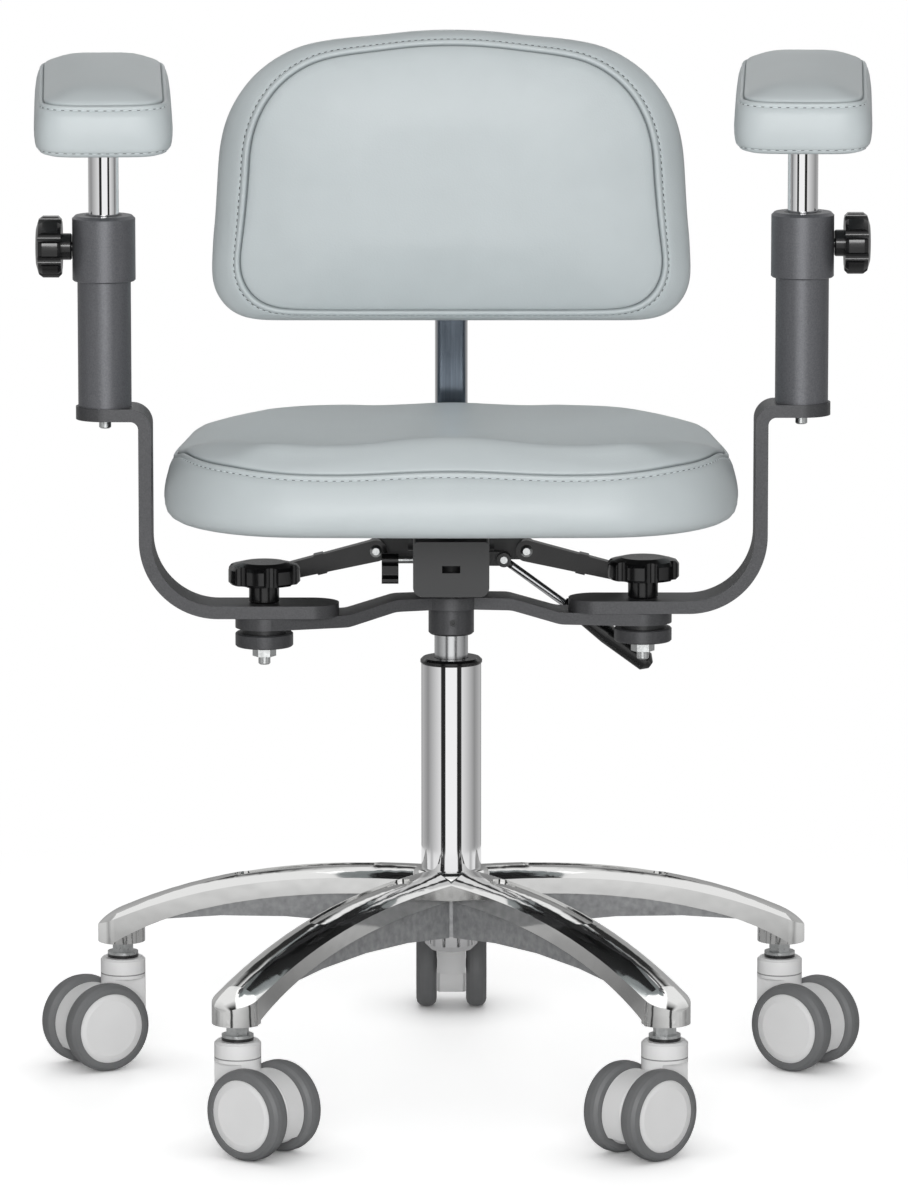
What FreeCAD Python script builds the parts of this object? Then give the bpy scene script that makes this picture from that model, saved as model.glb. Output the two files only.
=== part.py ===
import FreeCAD, Part
import math
import os

# Laboratory chair with arm supports, in millimetres. The origin is on the floor under the column axis,
# +Z is up and the sitter looks along -Y.

# Fits shared by all pieces
FIT = 0.05              # radial clearance of pins, shafts, bushes and pressed pieces
GAP = 0.3               # clearance between faces that pass each other or carry padding

# Casters
LEGS = 5
FIRST_LEG = 90.0        # direction of the leg under the backrest, degrees
STEM_CIRCLE = 294.0     # radius of the circle of caster stems
HEADINGS = (90.0, 210.0, -37.0, 222.0, -36.0)
WHEEL_D = 75.0
WHEEL_W = 18.0
TYRE_D = 59.5           # seat of the tyre on the wheel core
TYRE_ROUND = 6.5
TYRE_STEPS = (0, 30, 60, 90)    # corners of the flats round a tyre's shoulder, degrees
COVER_DOME = 1.6
TRAIL = 27.0            # stem axis to wheel axle
HOOD_R = 33.0
HOOD_W = 25.2
HOOD_BEVEL = 2.5
HOOD_CUT = 17.0         # height of the open lower edge of the hood
AXLE_D = 8.0
BARREL_D = 38.0
BARREL_TOP = 92.0
STEM_D = 11.0
STEM_SINK = 33.0        # stem length inside the barrel
STEM_RISE = 20.0        # stem length inside the leg tip
WASHER_D = 26.0
WASHER_T = 4.7
HEX_FLATS = 17.0
HEX_T = 9.0

# Star base
TIP_H = 30.0            # leg top over the caster stem, above the tip's lower face
TIP_ROUND = 8.0         # extra fall of the top at the very end
TIP_STEPS = (0, 25, 45, 62, 76, 86)     # directions round the end of the tip, degrees
TIP_BOSS_D = 38.0
TIP_BOSS_H = 12.0
LEG_BEND = 2.6          # power of the leg's fall from hub to tip
HUB_RISE = 82.0         # hub top above the leg tips' lower face
HUB_LIFT = 27.0         # hub underside above the leg tips' lower face
HUB_D = 54.0
HUB_COLLAR_D = 66.0
HUB_COLLAR_H = 24.0
HUB_ROUND = 7.0
LEG_HALF = 22.5         # half width of the polished leg top
LEG_TIP_HALF = 21.0
LEG_CROWN = 9.0         # rise of the leg top across its width
LEG_TIP_CROWN = 8.0
LIP_DEPTH = 22.0        # polished lip, from the crown to its lower edge
SKIRT_STEP = 6.5        # the cast skirt stands this far inside the lip
SKIRT_ARCH = 6.5        # rise of the skirt's lower edge between hub and tip
SKIRT_PEAK = 130.0      # where the skirt's lower edge is highest
SKIRT_END = 258.0
CAST_WALL = 4.5
CAST_TOP = 8.0
RIB_PLACES = (105.0, 170.0)
RIB_T = 4.0
RECESS_START = 62.0
RECESS_END = 192.0
RECESS_HALF = 10.0
RECESS_DEPTH = 2.4

# Column
TUBE_D = 50.0
TUBE_L = 173.0
TUBE_WALL = 2.0
SPIGOT_D = 38.0         # lower end of the tube inside the hub
SPIGOT_BORE = 33.0
RING_D = 51.6
RING_T = 5.0
RING_SLEEVE = 41.0
CUP_D = 44.0
CUP_H = 15.0
CUP_BEVEL = 5.0
CUP_PLUG = 17.0         # plug of the cup inside the spigot
CUP_HOLE = 8.0
CAGE_T = 5.0
RACE_T = 2.4
CYLINDER_D = 28.0
CYLINDER_WALL = 2.0
CYLINDER_CAP = 6.0
CYLINDER_CLEAR = 20.0   # cylinder end above the rod's flange
CYLINDER_TOP = 32.0     # cylinder end above the mechanism's underside
VALVE_D = 8.0
VALVE_H = 6.0
STROKE = 120.0
ROD_D = 10.0
ROD_FLANGE_D = 24.0
ROD_FLANGE_T = 4.0
PISTON_H = 12.0
PISTON_SPARE = 2.0
ROD_TAIL = 5.0
ROD_STOP_D = 14.0

# Yoke and its pivots
CYLINDER_SHOW = 20.0    # bare cylinder between guide ring and yoke collar at the lowest setting
COLLAR_D = 38.0
COLLAR_L = 23.0
YOKE_T = 10.0
YOKE_DISC_D = 55.0
YOKE_NECK = 34.0
YOKE_TURN = 4.8         # the yoke stands turned a little on the cylinder, degrees
YOKE_DROP = 11.0
YOKE_BEND_IN = 48.0
YOKE_BEND_OUT = 88.0
YOKE_BEND_R = 25.0
PIVOT_X = 157.7
PIVOT_Y = -27.0
ARM_W = 48.0
GRUB_D = 6.0
GRUB_BELOW = 11.5       # grub screw axis below the yoke plate
PIVOT_WASHER_D = 36.0
PIVOT_WASHER_T = 4.2
DISC_D = 48.0
DISC_T = 11.5
STUD_D = 10.0
NUT_FLATS = 17.0
NUT_T = 8.5
STUD_TAIL = 7.0

# Arms
ARM_T = 10.5
ARM_INNER = 62.0        # inner end of the bar behind its pivot
ARM_REACH = 130.6       # pivot to post
ARM_UPRIGHT = 92.0      # pivot to the inner face of the upright
ARM_BEND = 65.0
ARM_RISE = 174.5        # underside of the bar to the top of its flange
FLANGE_BEND = 17.0
SLEEVE_D = 44.0
SLEEVE_L = 104.0
SLEEVE_HEAD_D = 52.0
SLEEVE_HEAD_L = 54.0
SLEEVE_FLOOR = 17.0
SLEEVE_BEVEL = 2.5
SLEEVE_BOLT_D = 10.0
SLEEVE_BOLT_TAIL = 8.0
BUSH_WALL = 2.4
BUSH_LOW = 1.0
BUSH_TOP = 0.5
POST_D = 25.0
POST_SHOW = 66.0        # bare post between sleeve and pad
POST_SINK = 86.0
CLAMP_HIGH = 28.0       # clamp axis above the joint of sleeve and head
CLAMP_SCREW_D = 8.0
CLAMP_HUB_D = 22.0
CLAMP_HUB_L = 8.2
CLAMP_KNOB_D = 51.0
CLAMP_KNOB_T = 21.0
CLAMP_LOBES = 8
KNOB_D = 60.0
KNOB_T = 15.0
KNOB_STEM_D = 25.0
KNOB_STEM_L = 15.5
KNOB_DOME = 3.0
KNOB_LOBES = 7
KNOB_VALLEY = 0.84      # radius of the hollows between lobes, over the lobes' radius
STUD_IN_KNOB = 24.0

# Arm pads
PAD_W = 113.0
PAD_L = 240.0
PAD_CORNER = 22.0
PAD_H = 41.0            # height of the sewn edge
PAD_TUCK = 9.0
PAD_WAIST = 15.0
PAD_SHOULDER = 12.0
PAD_CROWN = 7.0
PAD_DOME = 33.0
PAD_TILT = 4.2
PAD_TOE = 2.8           # the pads point a little inwards at the front
PAD_PLATE_W = 44.0
PAD_PLATE_L = 120.0
PAD_PLATE_T = 3.0

# Mechanism
MECH_OVER_YOKE = 7.0
MECH_W = 63.0
MECH_FRONT = 60.0
MECH_BACK = 110.0
MECH_WALL = 3.0
MECH_ROUND = 8.0
TRAY_H = 26.0
COVER_H = 20.0
COVER_ROUND = 4.0
NOTCH_W = 15.0
NOTCH_H = 6.0
SOCKET_D = 40.0
PIN_D = 10.0
SEAT_PIN_Y = 25.0
SEAT_PIN_UP = 10.0      # seat pin above the joint of tray and cover
BACK_PIN_Y = 95.0
BACK_PIN_UP = 14.0      # back pin above the tray's underside
LEVER_X = 63.0
LEVER_UP = 24.0         # lever pivot above the tray's underside
LEVER_Y = 34.0
LEVER_T = 12.0
LEVER_L = 84.0
LEVER_FALL = 13.5
LEVER_HUB_D = 18.0
LEVER_END_D = 13.0
LEVER_BAND_T = 0.8
LEVER_BAND_L = 8.0
LEVER_BAND_AT = 44.0
BRACKET_T = 4.0
BRACKET_H = 18.0
SCREW_D = 6.0
SCREW_HEAD_D = 10.0
SCREW_HEAD_T = 3.4
LIFT_X = 44.0
LIFT_Y = 26.0
LIFT_UP = 18.0          # lift lever pivot above the tray's underside
LIFT_FALL = 36.0
LIFT_EYE_D = 12.0
LIFT_EYE_T = 8.0
LIFT_ROD_D = 6.5
LIFT_ROD_L = 92.0
GRIP_START = 62.0
GRIP_L = 90.0
GRIP_D = 17.0
GRIP_NECK_D = 11.0
HOOK_X = 51.0
HOOK_Y = 12.0
HOOK_UP = 20.0
HOOK_W = 14.0
HOOK_HUB_D = 11.0
HOOK_L = 19.0
HOOK_T = 5.0
HOOK_TOE = 9.0

# Seat
SEAT_PLATE_UP = 17.0    # seat plate above the mechanism cover
SEAT_PLATE_W = 150.0
SEAT_PLATE_L = 170.0
SEAT_PLATE_T = 5.0
SEAT_PLATE_R = 20.0
EAR_T = 4.0
EAR_HALF = 16.0
EAR_BELOW = 9.0
SHELL_T = 8.0
SHELL_INSET = 44.0      # rim of the pan inside the cushion's outline
SEAT_HALF = 239.0
SEAT_FRONT_HALF = 231.0
SEAT_BACK_HALF = 212.0
SEAT_FRONT = 207.0
SEAT_BACK = 202.0
SEAT_BOW = 5.0
SEAT_WIDEST = -20.0
SEAT_FRONT_R = 115.0
SEAT_BACK_R = 156.0
SEAT_SIDE_R = 600.0
SEAT_TUCK = 26.0
SEAT_WAIST = 14.0
SEAT_SHOULDER = 70.0
SEAT_H = 82.0
SEAT_CREST = 78.0       # saddle crest above the cushion's underside
SEAT_CREST_Y = -172.0
SEAT_BOWL = 53.0
SEAT_BOWL_Y = 30.0
SEAT_RIM = 61.0
SEAT_RIM_IN = 20.0      # rear rim inside the back of the outline
SADDLE_HALF = 60.0
SADDLE_OVER = 60.0      # how far the tool for the top reaches past the cushion
SADDLE_SIDE = 20.0      # and past its sides
SADDLE_R = 450.0
VALLEY_R = 300.0
BOWL_R = 1500.0
BOWL_SIDE_R = 1500.0
RIM_R = 800.0
RIM_SIDE_R = 9000.0

# Back
BAR_W = 28.0
BAR_T = 10.0
BAR_EDGE = 4.6
BAR_Y = 230.0
BAR_BEND = 42.0
BAR_RISE = 360.0         # top of the bar above the back pin
BAR_EYE_D = 20.0
BACK_BELOW = 116.0       # lower edge of the back below the middle of the slider
BACK_H = 252.0
BACK_ARCH = 20.0         # rise of the top edge from shoulder to middle
BACK_HALF = 209.0
BACK_SHOULDER_HALF = 193.0
BACK_CORNER = 40.0
BACK_SHOULDER_R = 104.0
BACK_ARCH_R = 380.0
BACK_REAR = 207.0
BACK_DEPTH = 50.0
BACK_TUCK = 8.0
BACK_WAIST = 12.0
BACK_SHOULDER_IN = 76.0
BACK_SHELL_T = 9.5
BACK_SHELL_INSET = 14.0
PLATE_W = 90.0
PLATE_H = 110.0
PLATE_T = 4.0
SLIDER_W = 42.0
SLIDER_D = 21.0
SLIDER_H = 80.0
SLIDER_DROP = 60.0       # middle of the slider below the top of the bar
BOSS_D = 20.0
BOSS_L = 5.0
BACK_KNOB_D = 40.0
BACK_KNOB_T = 18.0
BACK_KNOB_LOBES = 6
BACK_STUD_D = 8.0

# Heights that follow from the sizes above
axle_z = WHEEL_D / 2
tip_z = BARREL_TOP + GAP + WASHER_T + HEX_T
hub_z = tip_z + HUB_LIFT
hub_top = tip_z + HUB_RISE
tube_top = hub_top + TUBE_L
ring_top = tube_top + RING_T
collar_z = ring_top + CYLINDER_SHOW
yoke_z = collar_z + COLLAR_L
yoke_top = yoke_z + YOKE_T
mech_z = yoke_top + MECH_OVER_YOKE
split_z = mech_z + TRAY_H
cover_top = split_z + COVER_H
plate_z = cover_top + SEAT_PLATE_UP
shell_z = plate_z + SEAT_PLATE_T
seat_z = shell_z + GAP
seat_pin_z = split_z + SEAT_PIN_UP
back_pin_z = mech_z + BACK_PIN_UP
slider_z = back_pin_z + BAR_RISE - SLIDER_DROP
back_low = slider_z - BACK_BELOW
back_top = back_low + BACK_H
lever_z = mech_z + LEVER_UP
lift_z = mech_z + LIFT_UP
hook_z = mech_z + HOOK_UP
yoke_end_z = yoke_z - YOKE_DROP
yoke_end_top = yoke_end_z + YOKE_T
arm_z = yoke_end_top + GAP
arm_top = arm_z + ARM_T
flange_top = arm_z + ARM_RISE
head_z = flange_top + SLEEVE_L
head_top = head_z + SLEEVE_HEAD_L
clamp_z = head_z + CLAMP_HIGH
pad_z = head_top + POST_SHOW
cup_z = hub_z - CUP_H
race_z = hub_z + CUP_PLUG
flange_z = race_z + 2 * RACE_T + CAGE_T + FIT
cylinder_z = flange_z + ROD_FLANGE_T + CYLINDER_CLEAR


def vector(x, y, z):
    return FreeCAD.Vector(x, y, z)


UP = vector(0, 0, 1)
ORIGIN = vector(0, 0, 0)


def moved(shape, x=0.0, y=0.0, z=0.0):
    """A copy of a shape, shifted."""
    copy = shape.copy()
    copy.translate(vector(x, y, z))
    return copy


def turned_about(shape, angle, axis=UP, centre=ORIGIN):
    """A copy of a shape, turned by an angle in degrees."""
    copy = shape.copy()
    copy.rotate(centre, axis, angle)
    return copy


def upright(shape):
    """A copy of a shape drawn in XY, stood up in XZ."""
    return turned_about(shape, 90, vector(1, 0, 0))


def along_y(shape):
    """A copy of a shape made along +Z, laid along +Y."""
    return turned_about(shape, -90, vector(1, 0, 0))


def along_x(shape):
    """A copy of a shape made along +Z, laid along +X."""
    return turned_about(shape, 90, vector(0, 1, 0))


def rounded(corners):
    """Closed flat wire through (x, y, radius) corners; a corner without a radius stays sharp."""
    spans = []
    for i, corner in enumerate(corners):
        point = vector(corner[0], corner[1], 0)
        before = (vector(*corners[i - 1][:2], 0) - point).normalize()
        after = (vector(*corners[(i + 1) % len(corners)][:2], 0) - point).normalize()
        radius = corner[2] if len(corner) > 2 else 0.0
        half = before.getAngle(after) / 2
        reach = radius / math.tan(half)
        middle = point
        if radius:
            middle = point + (before + after).normalize() * (radius / math.sin(half) - radius)
        spans.append((point + before * reach, middle, point + after * reach))
    edges = []
    for i, (start, middle, end) in enumerate(spans):
        last = spans[i - 1][2]
        if last.distanceToPoint(start) > 1e-4:
            edges.append(Part.makeLine(last, start))
        if start.distanceToPoint(end) > 1e-4:
            edges.append(Part.Arc(start, middle, end).toShape())
    return Part.Wire(edges)


def slab(corners, low, high):
    """Flat outline pulled up from one height to another."""
    return moved(Part.Face(rounded(corners)), z=low).extrude(vector(0, 0, high - low))


def band(corners, front, back):
    """Outline in XZ pulled back from one Y to another."""
    return moved(upright(Part.Face(rounded(corners))), y=front).extrude(vector(0, back - front, 0))


def bevelled(corners):
    """Corners of an outline with each (x, y, bevel) corner cut off, the bevel long along both sides."""
    points = []
    for i, corner in enumerate(corners):
        point = vector(corner[0], corner[1], 0)
        if len(corner) < 3:
            points.append(corner)
            continue
        for other in (corners[i - 1], corners[(i + 1) % len(corners)]):
            side = (vector(other[0], other[1], 0) - point).normalize() * corner[2]
            points.append((point.x + side.x, point.y + side.y))
    return points


def revolved(corners):
    """Solid of revolution about Z of a profile of (radius, height, rounding) corners."""
    return upright(Part.Face(rounded(corners))).revolve(ORIGIN, UP, 360)


def turned(corners):
    """Turned solid about Z of a profile of (radius, height, bevel) corners."""
    return revolved(bevelled(corners))


def disc(radius, low, high, bore=0.0):
    """Round disc or ring on the Z axis."""
    body = Part.makeCylinder(radius, high - low, vector(0, 0, low))
    if bore:
        body = body.cut(Part.makeCylinder(bore, high - low + 2, vector(0, 0, low - 1)))
    return body


def hexagon(flats, low, high):
    """Hexagonal prism on the Z axis."""
    across = flats / math.sqrt(3)
    turns = [math.radians(60 * i) for i in range(6)]
    return slab([(across * math.cos(turn), across * math.sin(turn)) for turn in turns], low, high)


def box(half_x, y_low, y_high, z_low, z_high):
    """Block that is centred across X."""
    return Part.makeBox(2 * half_x, y_high - y_low, z_high - z_low, vector(-half_x, y_low, z_low))


def rectangle(half_x, half_y, radius):
    """Corners of a rounded rectangle about the origin."""
    return [(-half_x, -half_y, radius), (half_x, -half_y, radius), (half_x, half_y, radius),
            (-half_x, half_y, radius)]


def lobed(radius, lobes, thick, dome):
    """Hand knob head: round lobes with hollows between them, under a domed top."""
    share = 0.27
    valley = radius * KNOB_VALLEY

    def point(turn, length):
        angle = 2 * math.pi * turn / lobes
        return vector(length * math.cos(angle), length * math.sin(angle), 0)
    edges = []
    for i in range(lobes):
        start = point(i - share, radius)
        end = point(i + share, radius)
        edges.append(Part.Arc(start, point(i, radius), end).toShape())
        edges.append(Part.Arc(end, point(i + 0.5, valley), point(i + 1 - share, radius)).toShape())
    prism = Part.Face(Part.Wire(edges)).extrude(vector(0, 0, thick + dome))
    edge = 0.15 * thick
    cap = turned([(0, 0), (radius, 0, edge), (radius, thick, edge), (0.6 * radius, thick + dome),
                  (0, thick + dome)])
    return prism.common(cap)


def padded_layers(tuck, waist, shoulder, height):
    """Heights and insets of a cushion's side: tucked in below, full at its waist and rounded over above."""
    layers = []
    for angle in (90, 60, 30, 0):
        turn = math.radians(angle)
        layers.append((waist * (1 - math.sin(turn)), tuck * (1 - math.cos(turn))))
    for angle in (15, 30, 45, 60, 75):
        turn = math.radians(angle)
        layers.append((waist + (height - waist) * math.sin(turn), shoulder * (1 - math.cos(turn))))
    return layers


# Star base


def crown(r):
    """Height of the middle of a leg's top at a distance from the column."""
    return hub_top - (hub_top - tip_z - TIP_H) * (r / STEM_CIRCLE) ** LEG_BEND


def skirt_low(r):
    """Height of the cast skirt's lower edge, a flat arch between hub and tip."""
    return hub_z + SKIRT_ARCH * (1 - ((r - SKIRT_PEAK) / (SKIRT_PEAK - HUB_D / 2)) ** 2)


def leg_section(r, top, half, rise, low):
    """Section across a leg: flat foot, upright walls and an arched top."""
    a = vector(r, -half, low)
    b = vector(r, -half, top - rise)
    c = vector(r, half, top - rise)
    d = vector(r, half, low)
    arch = Part.Arc(b, vector(r, 0, top), c).toShape()
    return Part.Wire([Part.makeLine(a, b), arch, Part.makeLine(c, d), Part.makeLine(d, a)])


def leg_top():
    """Polished top of one leg, with its lip and the long recess."""
    sections = []
    for step in range(7):
        share = step / 6
        r = 14.0 + (STEM_CIRCLE - 14.0) * share
        half = LEG_HALF + (LEG_TIP_HALF - LEG_HALF) * share
        rise = LEG_CROWN + (LEG_TIP_CROWN - LEG_CROWN) * share ** 2
        depth = LIP_DEPTH + (TIP_H - 2 - LIP_DEPTH) * share ** 8
        sections.append(leg_section(r, crown(r), half, rise, crown(r) - depth))
    top = Part.makeLoft(sections, True)
    middle = (RECESS_START + RECESS_END) / 2
    slot = rectangle((RECESS_END - RECESS_START) / 2, RECESS_HALF, 0.97 * RECESS_HALF)
    slot = moved(slab(slot, tip_z, hub_top + 10), x=middle)
    return top.cut(slot.cut(moved(top, z=-RECESS_DEPTH)))


def leg_tip():
    """Round end of a leg: the arched top runs on and rolls down, with a boss for the caster stem."""
    sections = []
    for turn in TIP_STEPS:
        out = math.sin(math.radians(turn))
        across = math.cos(math.radians(turn))
        r = STEM_CIRCLE + LEG_TIP_HALF * out
        top = crown(r) - TIP_ROUND * (1 - across)
        sections.append(leg_section(r, top, LEG_TIP_HALF * across, LEG_TIP_CROWN * across ** 2, tip_z))
    boss = moved(disc(TIP_BOSS_D / 2, tip_z, tip_z + TIP_BOSS_H), x=STEM_CIRCLE)
    return [Part.makeLoft(sections, True), boss]


def leg_skirt(inset, lower, top_drop, start, end):
    """Cast body under the lip, or its hollow, between two distances from the column."""
    sections = []
    for step in range(5):
        r = start + (end - start) * step / 4
        sections.append(leg_section(r, crown(r) - top_drop, LEG_HALF - inset, 3.0, skirt_low(r) - lower))
    return Part.makeLoft(sections, True, True)


def leg():
    """One leg: polished top, hollow cast skirt with cross ribs, and the tip that takes a caster."""
    body = leg_skirt(SKIRT_STEP, 0.0, CAST_TOP, HUB_D / 2 - 2.0, SKIRT_END)
    hollow = leg_skirt(SKIRT_STEP + CAST_WALL, 10.0, CAST_TOP, HUB_D / 2 + CAST_WALL, SKIRT_END - CAST_WALL)
    for place in RIB_PLACES:
        hollow = hollow.cut(Part.makeBox(RIB_T, LEG_HALF * 2, HUB_RISE, vector(place, -LEG_HALF, tip_z)))
    return leg_top().fuse([body] + leg_tip()).cut(hollow)


def star_base():
    """One casting: hub with collar and five arched legs."""
    collar_low = hub_top - HUB_COLLAR_H
    hub = revolved([(0, hub_z), (HUB_D / 2, hub_z), (HUB_D / 2, collar_low), (HUB_COLLAR_D / 2, collar_low),
                    (HUB_COLLAR_D / 2, hub_top, HUB_ROUND), (0, hub_top)])
    first = leg()
    legs = [turned_about(first, FIRST_LEG + 360 / LEGS * i) for i in range(LEGS)]
    body = hub.fuse(legs)
    bores = [disc(SPIGOT_D / 2 + FIT, hub_z - 5, hub_top + 5)]
    for i in range(LEGS):
        hole = moved(disc(STEM_D / 2 + FIT, tip_z - 1, tip_z + STEM_RISE + GAP), x=STEM_CIRCLE)
        bores.append(turned_about(hole, FIRST_LEG + 360 / LEGS * i))
    return body.cut(bores).removeSplitter()


# Casters, made with the stem on Z and the wheels trailing along +X


def at_leg(shape, i):
    """A copy of a caster piece at its leg tip, heading the way that caster trails."""
    angle = math.radians(FIRST_LEG + 360 / LEGS * i)
    turned_piece = turned_about(shape, HEADINGS[i])
    return moved(turned_piece, STEM_CIRCLE * math.cos(angle), STEM_CIRCLE * math.sin(angle))


def caster_stem():
    """Stem with its washer and hexagon, screwed into the leg tip."""
    washer_z = BARREL_TOP + GAP
    stem = disc(STEM_D / 2, BARREL_TOP - STEM_SINK, tip_z + STEM_RISE)
    washer = disc(WASHER_D / 2, washer_z, washer_z + WASHER_T)
    return stem.fuse([washer, hexagon(HEX_FLATS, washer_z + WASHER_T, tip_z)])


def caster_housing():
    """Moulded housing: round barrel over the stem, running into a hood between the wheels."""
    half = HOOD_W / 2
    hood = turned([(0, -half), (HOOD_R, -half, HOOD_BEVEL), (HOOD_R, half, HOOD_BEVEL), (0, half)])
    hood = moved(along_y(hood), x=TRAIL, z=axle_z)
    hood = hood.cut(box(2 * HOOD_R + TRAIL, -HOOD_W, HOOD_W, -1, HOOD_CUT))
    barrel = turned([(0, axle_z), (BARREL_D / 2, axle_z), (BARREL_D / 2, BARREL_TOP, 2), (0, BARREL_TOP)])
    over_wheels = WHEEL_D + GAP
    keep = box(BARREL_D, -half, half, 0, over_wheels + 2)
    keep = keep.fuse(box(BARREL_D, -BARREL_D, BARREL_D, over_wheels, BARREL_TOP + 1))
    barrel = barrel.common(keep)
    bore = disc(STEM_D / 2 + FIT, BARREL_TOP - STEM_SINK - GAP, BARREL_TOP + 1)
    axle = moved(along_y(disc(AXLE_D / 2 + FIT, -HOOD_W, HOOD_W)), x=TRAIL, z=axle_z)
    return hood.fuse(barrel).cut([bore, axle]).removeSplitter()


def caster_wheels():
    """Two wheel cores with domed covers, and the axle that carries them."""
    inner = HOOD_W / 2 + GAP + 0.4
    outer = HOOD_W / 2 + GAP + WHEEL_W - 1.0
    radius = TYRE_D / 2
    bore = AXLE_D / 2 + FIT
    core = turned([(bore, inner), (radius, inner), (radius, outer - COVER_DOME), (0.8 * radius, outer),
                   (0, outer), (0, outer - 4), (bore, outer - 4)])
    axle = disc(AXLE_D / 2, -outer + 4 + FIT, outer - 4 - FIT)
    cores = [core, turned_about(core, 180, vector(1, 0, 0))]
    return [moved(along_y(piece), x=TRAIL, z=axle_z) for piece in cores + [axle]]


def caster_tyres():
    """Two soft tyres with rounded shoulders."""
    inner = HOOD_W / 2 + GAP
    outer = inner + WHEEL_W
    bore = TYRE_D / 2 + FIT
    radius = WHEEL_D / 2
    shoulder = [(TYRE_ROUND * (1 - math.sin(math.radians(turn))), TYRE_ROUND * (1 - math.cos(math.radians(turn))))
                for turn in TYRE_STEPS]
    near = [(radius - drop, inner + step) for drop, step in shoulder]
    far = [(radius - drop, outer - step) for drop, step in reversed(shoulder)]
    tyre = revolved([(bore, inner)] + near + far + [(bore, outer)])
    tyres = [tyre, turned_about(tyre, 180, vector(1, 0, 0))]
    return [moved(along_y(piece), x=TRAIL, z=axle_z) for piece in tyres]


# Column


def column_tube():
    """Polished tube with a narrower spigot in the hub."""
    outer = TUBE_D / 2
    inner = outer - TUBE_WALL
    spigot = SPIGOT_D / 2
    bore = SPIGOT_BORE / 2
    return turned([(bore, hub_z), (spigot, hub_z), (spigot, hub_top), (outer, hub_top), (outer, tube_top),
                   (inner, tube_top), (inner, hub_top + 12), (bore, hub_top + 6)])


def column_ring():
    """Guide bush of the gas cylinder: sleeve in the tube and a flange on its end."""
    inner = CYLINDER_D / 2 + FIT
    sleeve = TUBE_D / 2 - TUBE_WALL - FIT
    return turned([(inner, tube_top - RING_SLEEVE), (sleeve, tube_top - RING_SLEEVE, 1), (sleeve, tube_top),
                   (RING_D / 2, tube_top, 1), (RING_D / 2, ring_top, 2), (inner, ring_top, 1)])


def column_foot():
    """Turned cup that closes the spigot and carries the thrust bearing."""
    plug = SPIGOT_BORE / 2 - FIT
    rod = ROD_D / 2 + FIT
    floor = hub_z - CUP_H + CUP_HOLE
    body = turned([(CUP_HOLE, cup_z, 1), (CUP_D / 2, cup_z, CUP_BEVEL), (CUP_D / 2, hub_z), (plug, hub_z),
                   (plug, race_z), (rod, race_z), (rod, floor), (CUP_HOLE, floor)])
    key = disc(1.8, cup_z - 1, cup_z + 4)
    place = (CUP_HOLE + CUP_D / 2) / 2 - 1.0
    return body.cut([moved(key, x=place), moved(key, x=-place)])


def thrust_bearing():
    """Two race washers with the bearing cage between them, on the foot."""
    bore = ROD_D / 2 + GAP
    radius = SPIGOT_BORE / 2 - GAP
    cage_z = race_z + RACE_T
    top = cage_z + CAGE_T
    return [disc(radius, race_z, cage_z, bore), disc(radius - RACE_T, cage_z, top, bore + RACE_T),
            disc(radius, top, top + RACE_T, bore)]


def piston_rod():
    """Rod that stands on the bearing and carries the piston inside the cylinder."""
    seat = flange_z
    floor = hub_z - CUP_H + CUP_HOLE
    piston = cylinder_z + CYLINDER_CAP + STROKE + PISTON_SPARE
    rod = ROD_D / 2
    stop = ROD_STOP_D / 2
    wide = CYLINDER_D / 2 - CYLINDER_WALL - FIT
    flange = ROD_FLANGE_D / 2
    return turned([(0, floor - ROD_TAIL), (stop, floor - ROD_TAIL, 1), (stop, floor - GAP), (rod, floor - GAP),
                   (rod, seat), (flange, seat), (flange, seat + ROD_FLANGE_T), (rod, seat + ROD_FLANGE_T),
                   (rod, piston), (wide, piston), (wide, piston + PISTON_H), (0, piston + PISTON_H)])


def gas_cylinder():
    """Closed cylinder that slides in the guide bush, with the valve button on its top."""
    top = mech_z + CYLINDER_TOP
    outer = CYLINDER_D / 2
    inner = outer - CYLINDER_WALL
    rod = ROD_D / 2 + FIT
    floor = cylinder_z + CYLINDER_CAP
    valve = VALVE_D / 2
    return turned([(rod, cylinder_z), (outer, cylinder_z, 1), (outer, top, 2), (valve, top),
                   (valve, top + VALVE_H, 1), (0, top + VALVE_H), (0, top - CYLINDER_CAP),
                   (inner, top - CYLINDER_CAP), (inner, floor), (rod, floor)])


# Yoke and arm pivots


def pivot(side):
    """Place of an arm pivot: side -1 is the one towards -X, +1 the one towards +X."""
    angle = math.radians(YOKE_TURN)
    x = side * PIVOT_X
    return x * math.cos(angle) - PIVOT_Y * math.sin(angle), x * math.sin(angle) + PIVOT_Y * math.cos(angle)


def yoke_plan():
    """Plan of the yoke: round middle, narrow necks and round ends."""
    low = yoke_end_z - 5
    high = yoke_top + 5
    pieces = []
    for side in (-1, 1):
        end = vector(side * PIVOT_X, PIVOT_Y, 0)
        across = vector(-end.y, end.x, 0).normalize()
        neck = across * (YOKE_NECK / 2)
        tail = across * (ARM_W / 2)
        outline = [neck, end + tail, end - tail, neck * -1]
        pieces.append(slab([(p.x, p.y) for p in outline], low, high))
        pieces.append(moved(disc(ARM_W / 2, low, high), x=end.x, y=end.y))
    return disc(YOKE_DISC_D / 2, low, high).fuse(pieces)


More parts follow.
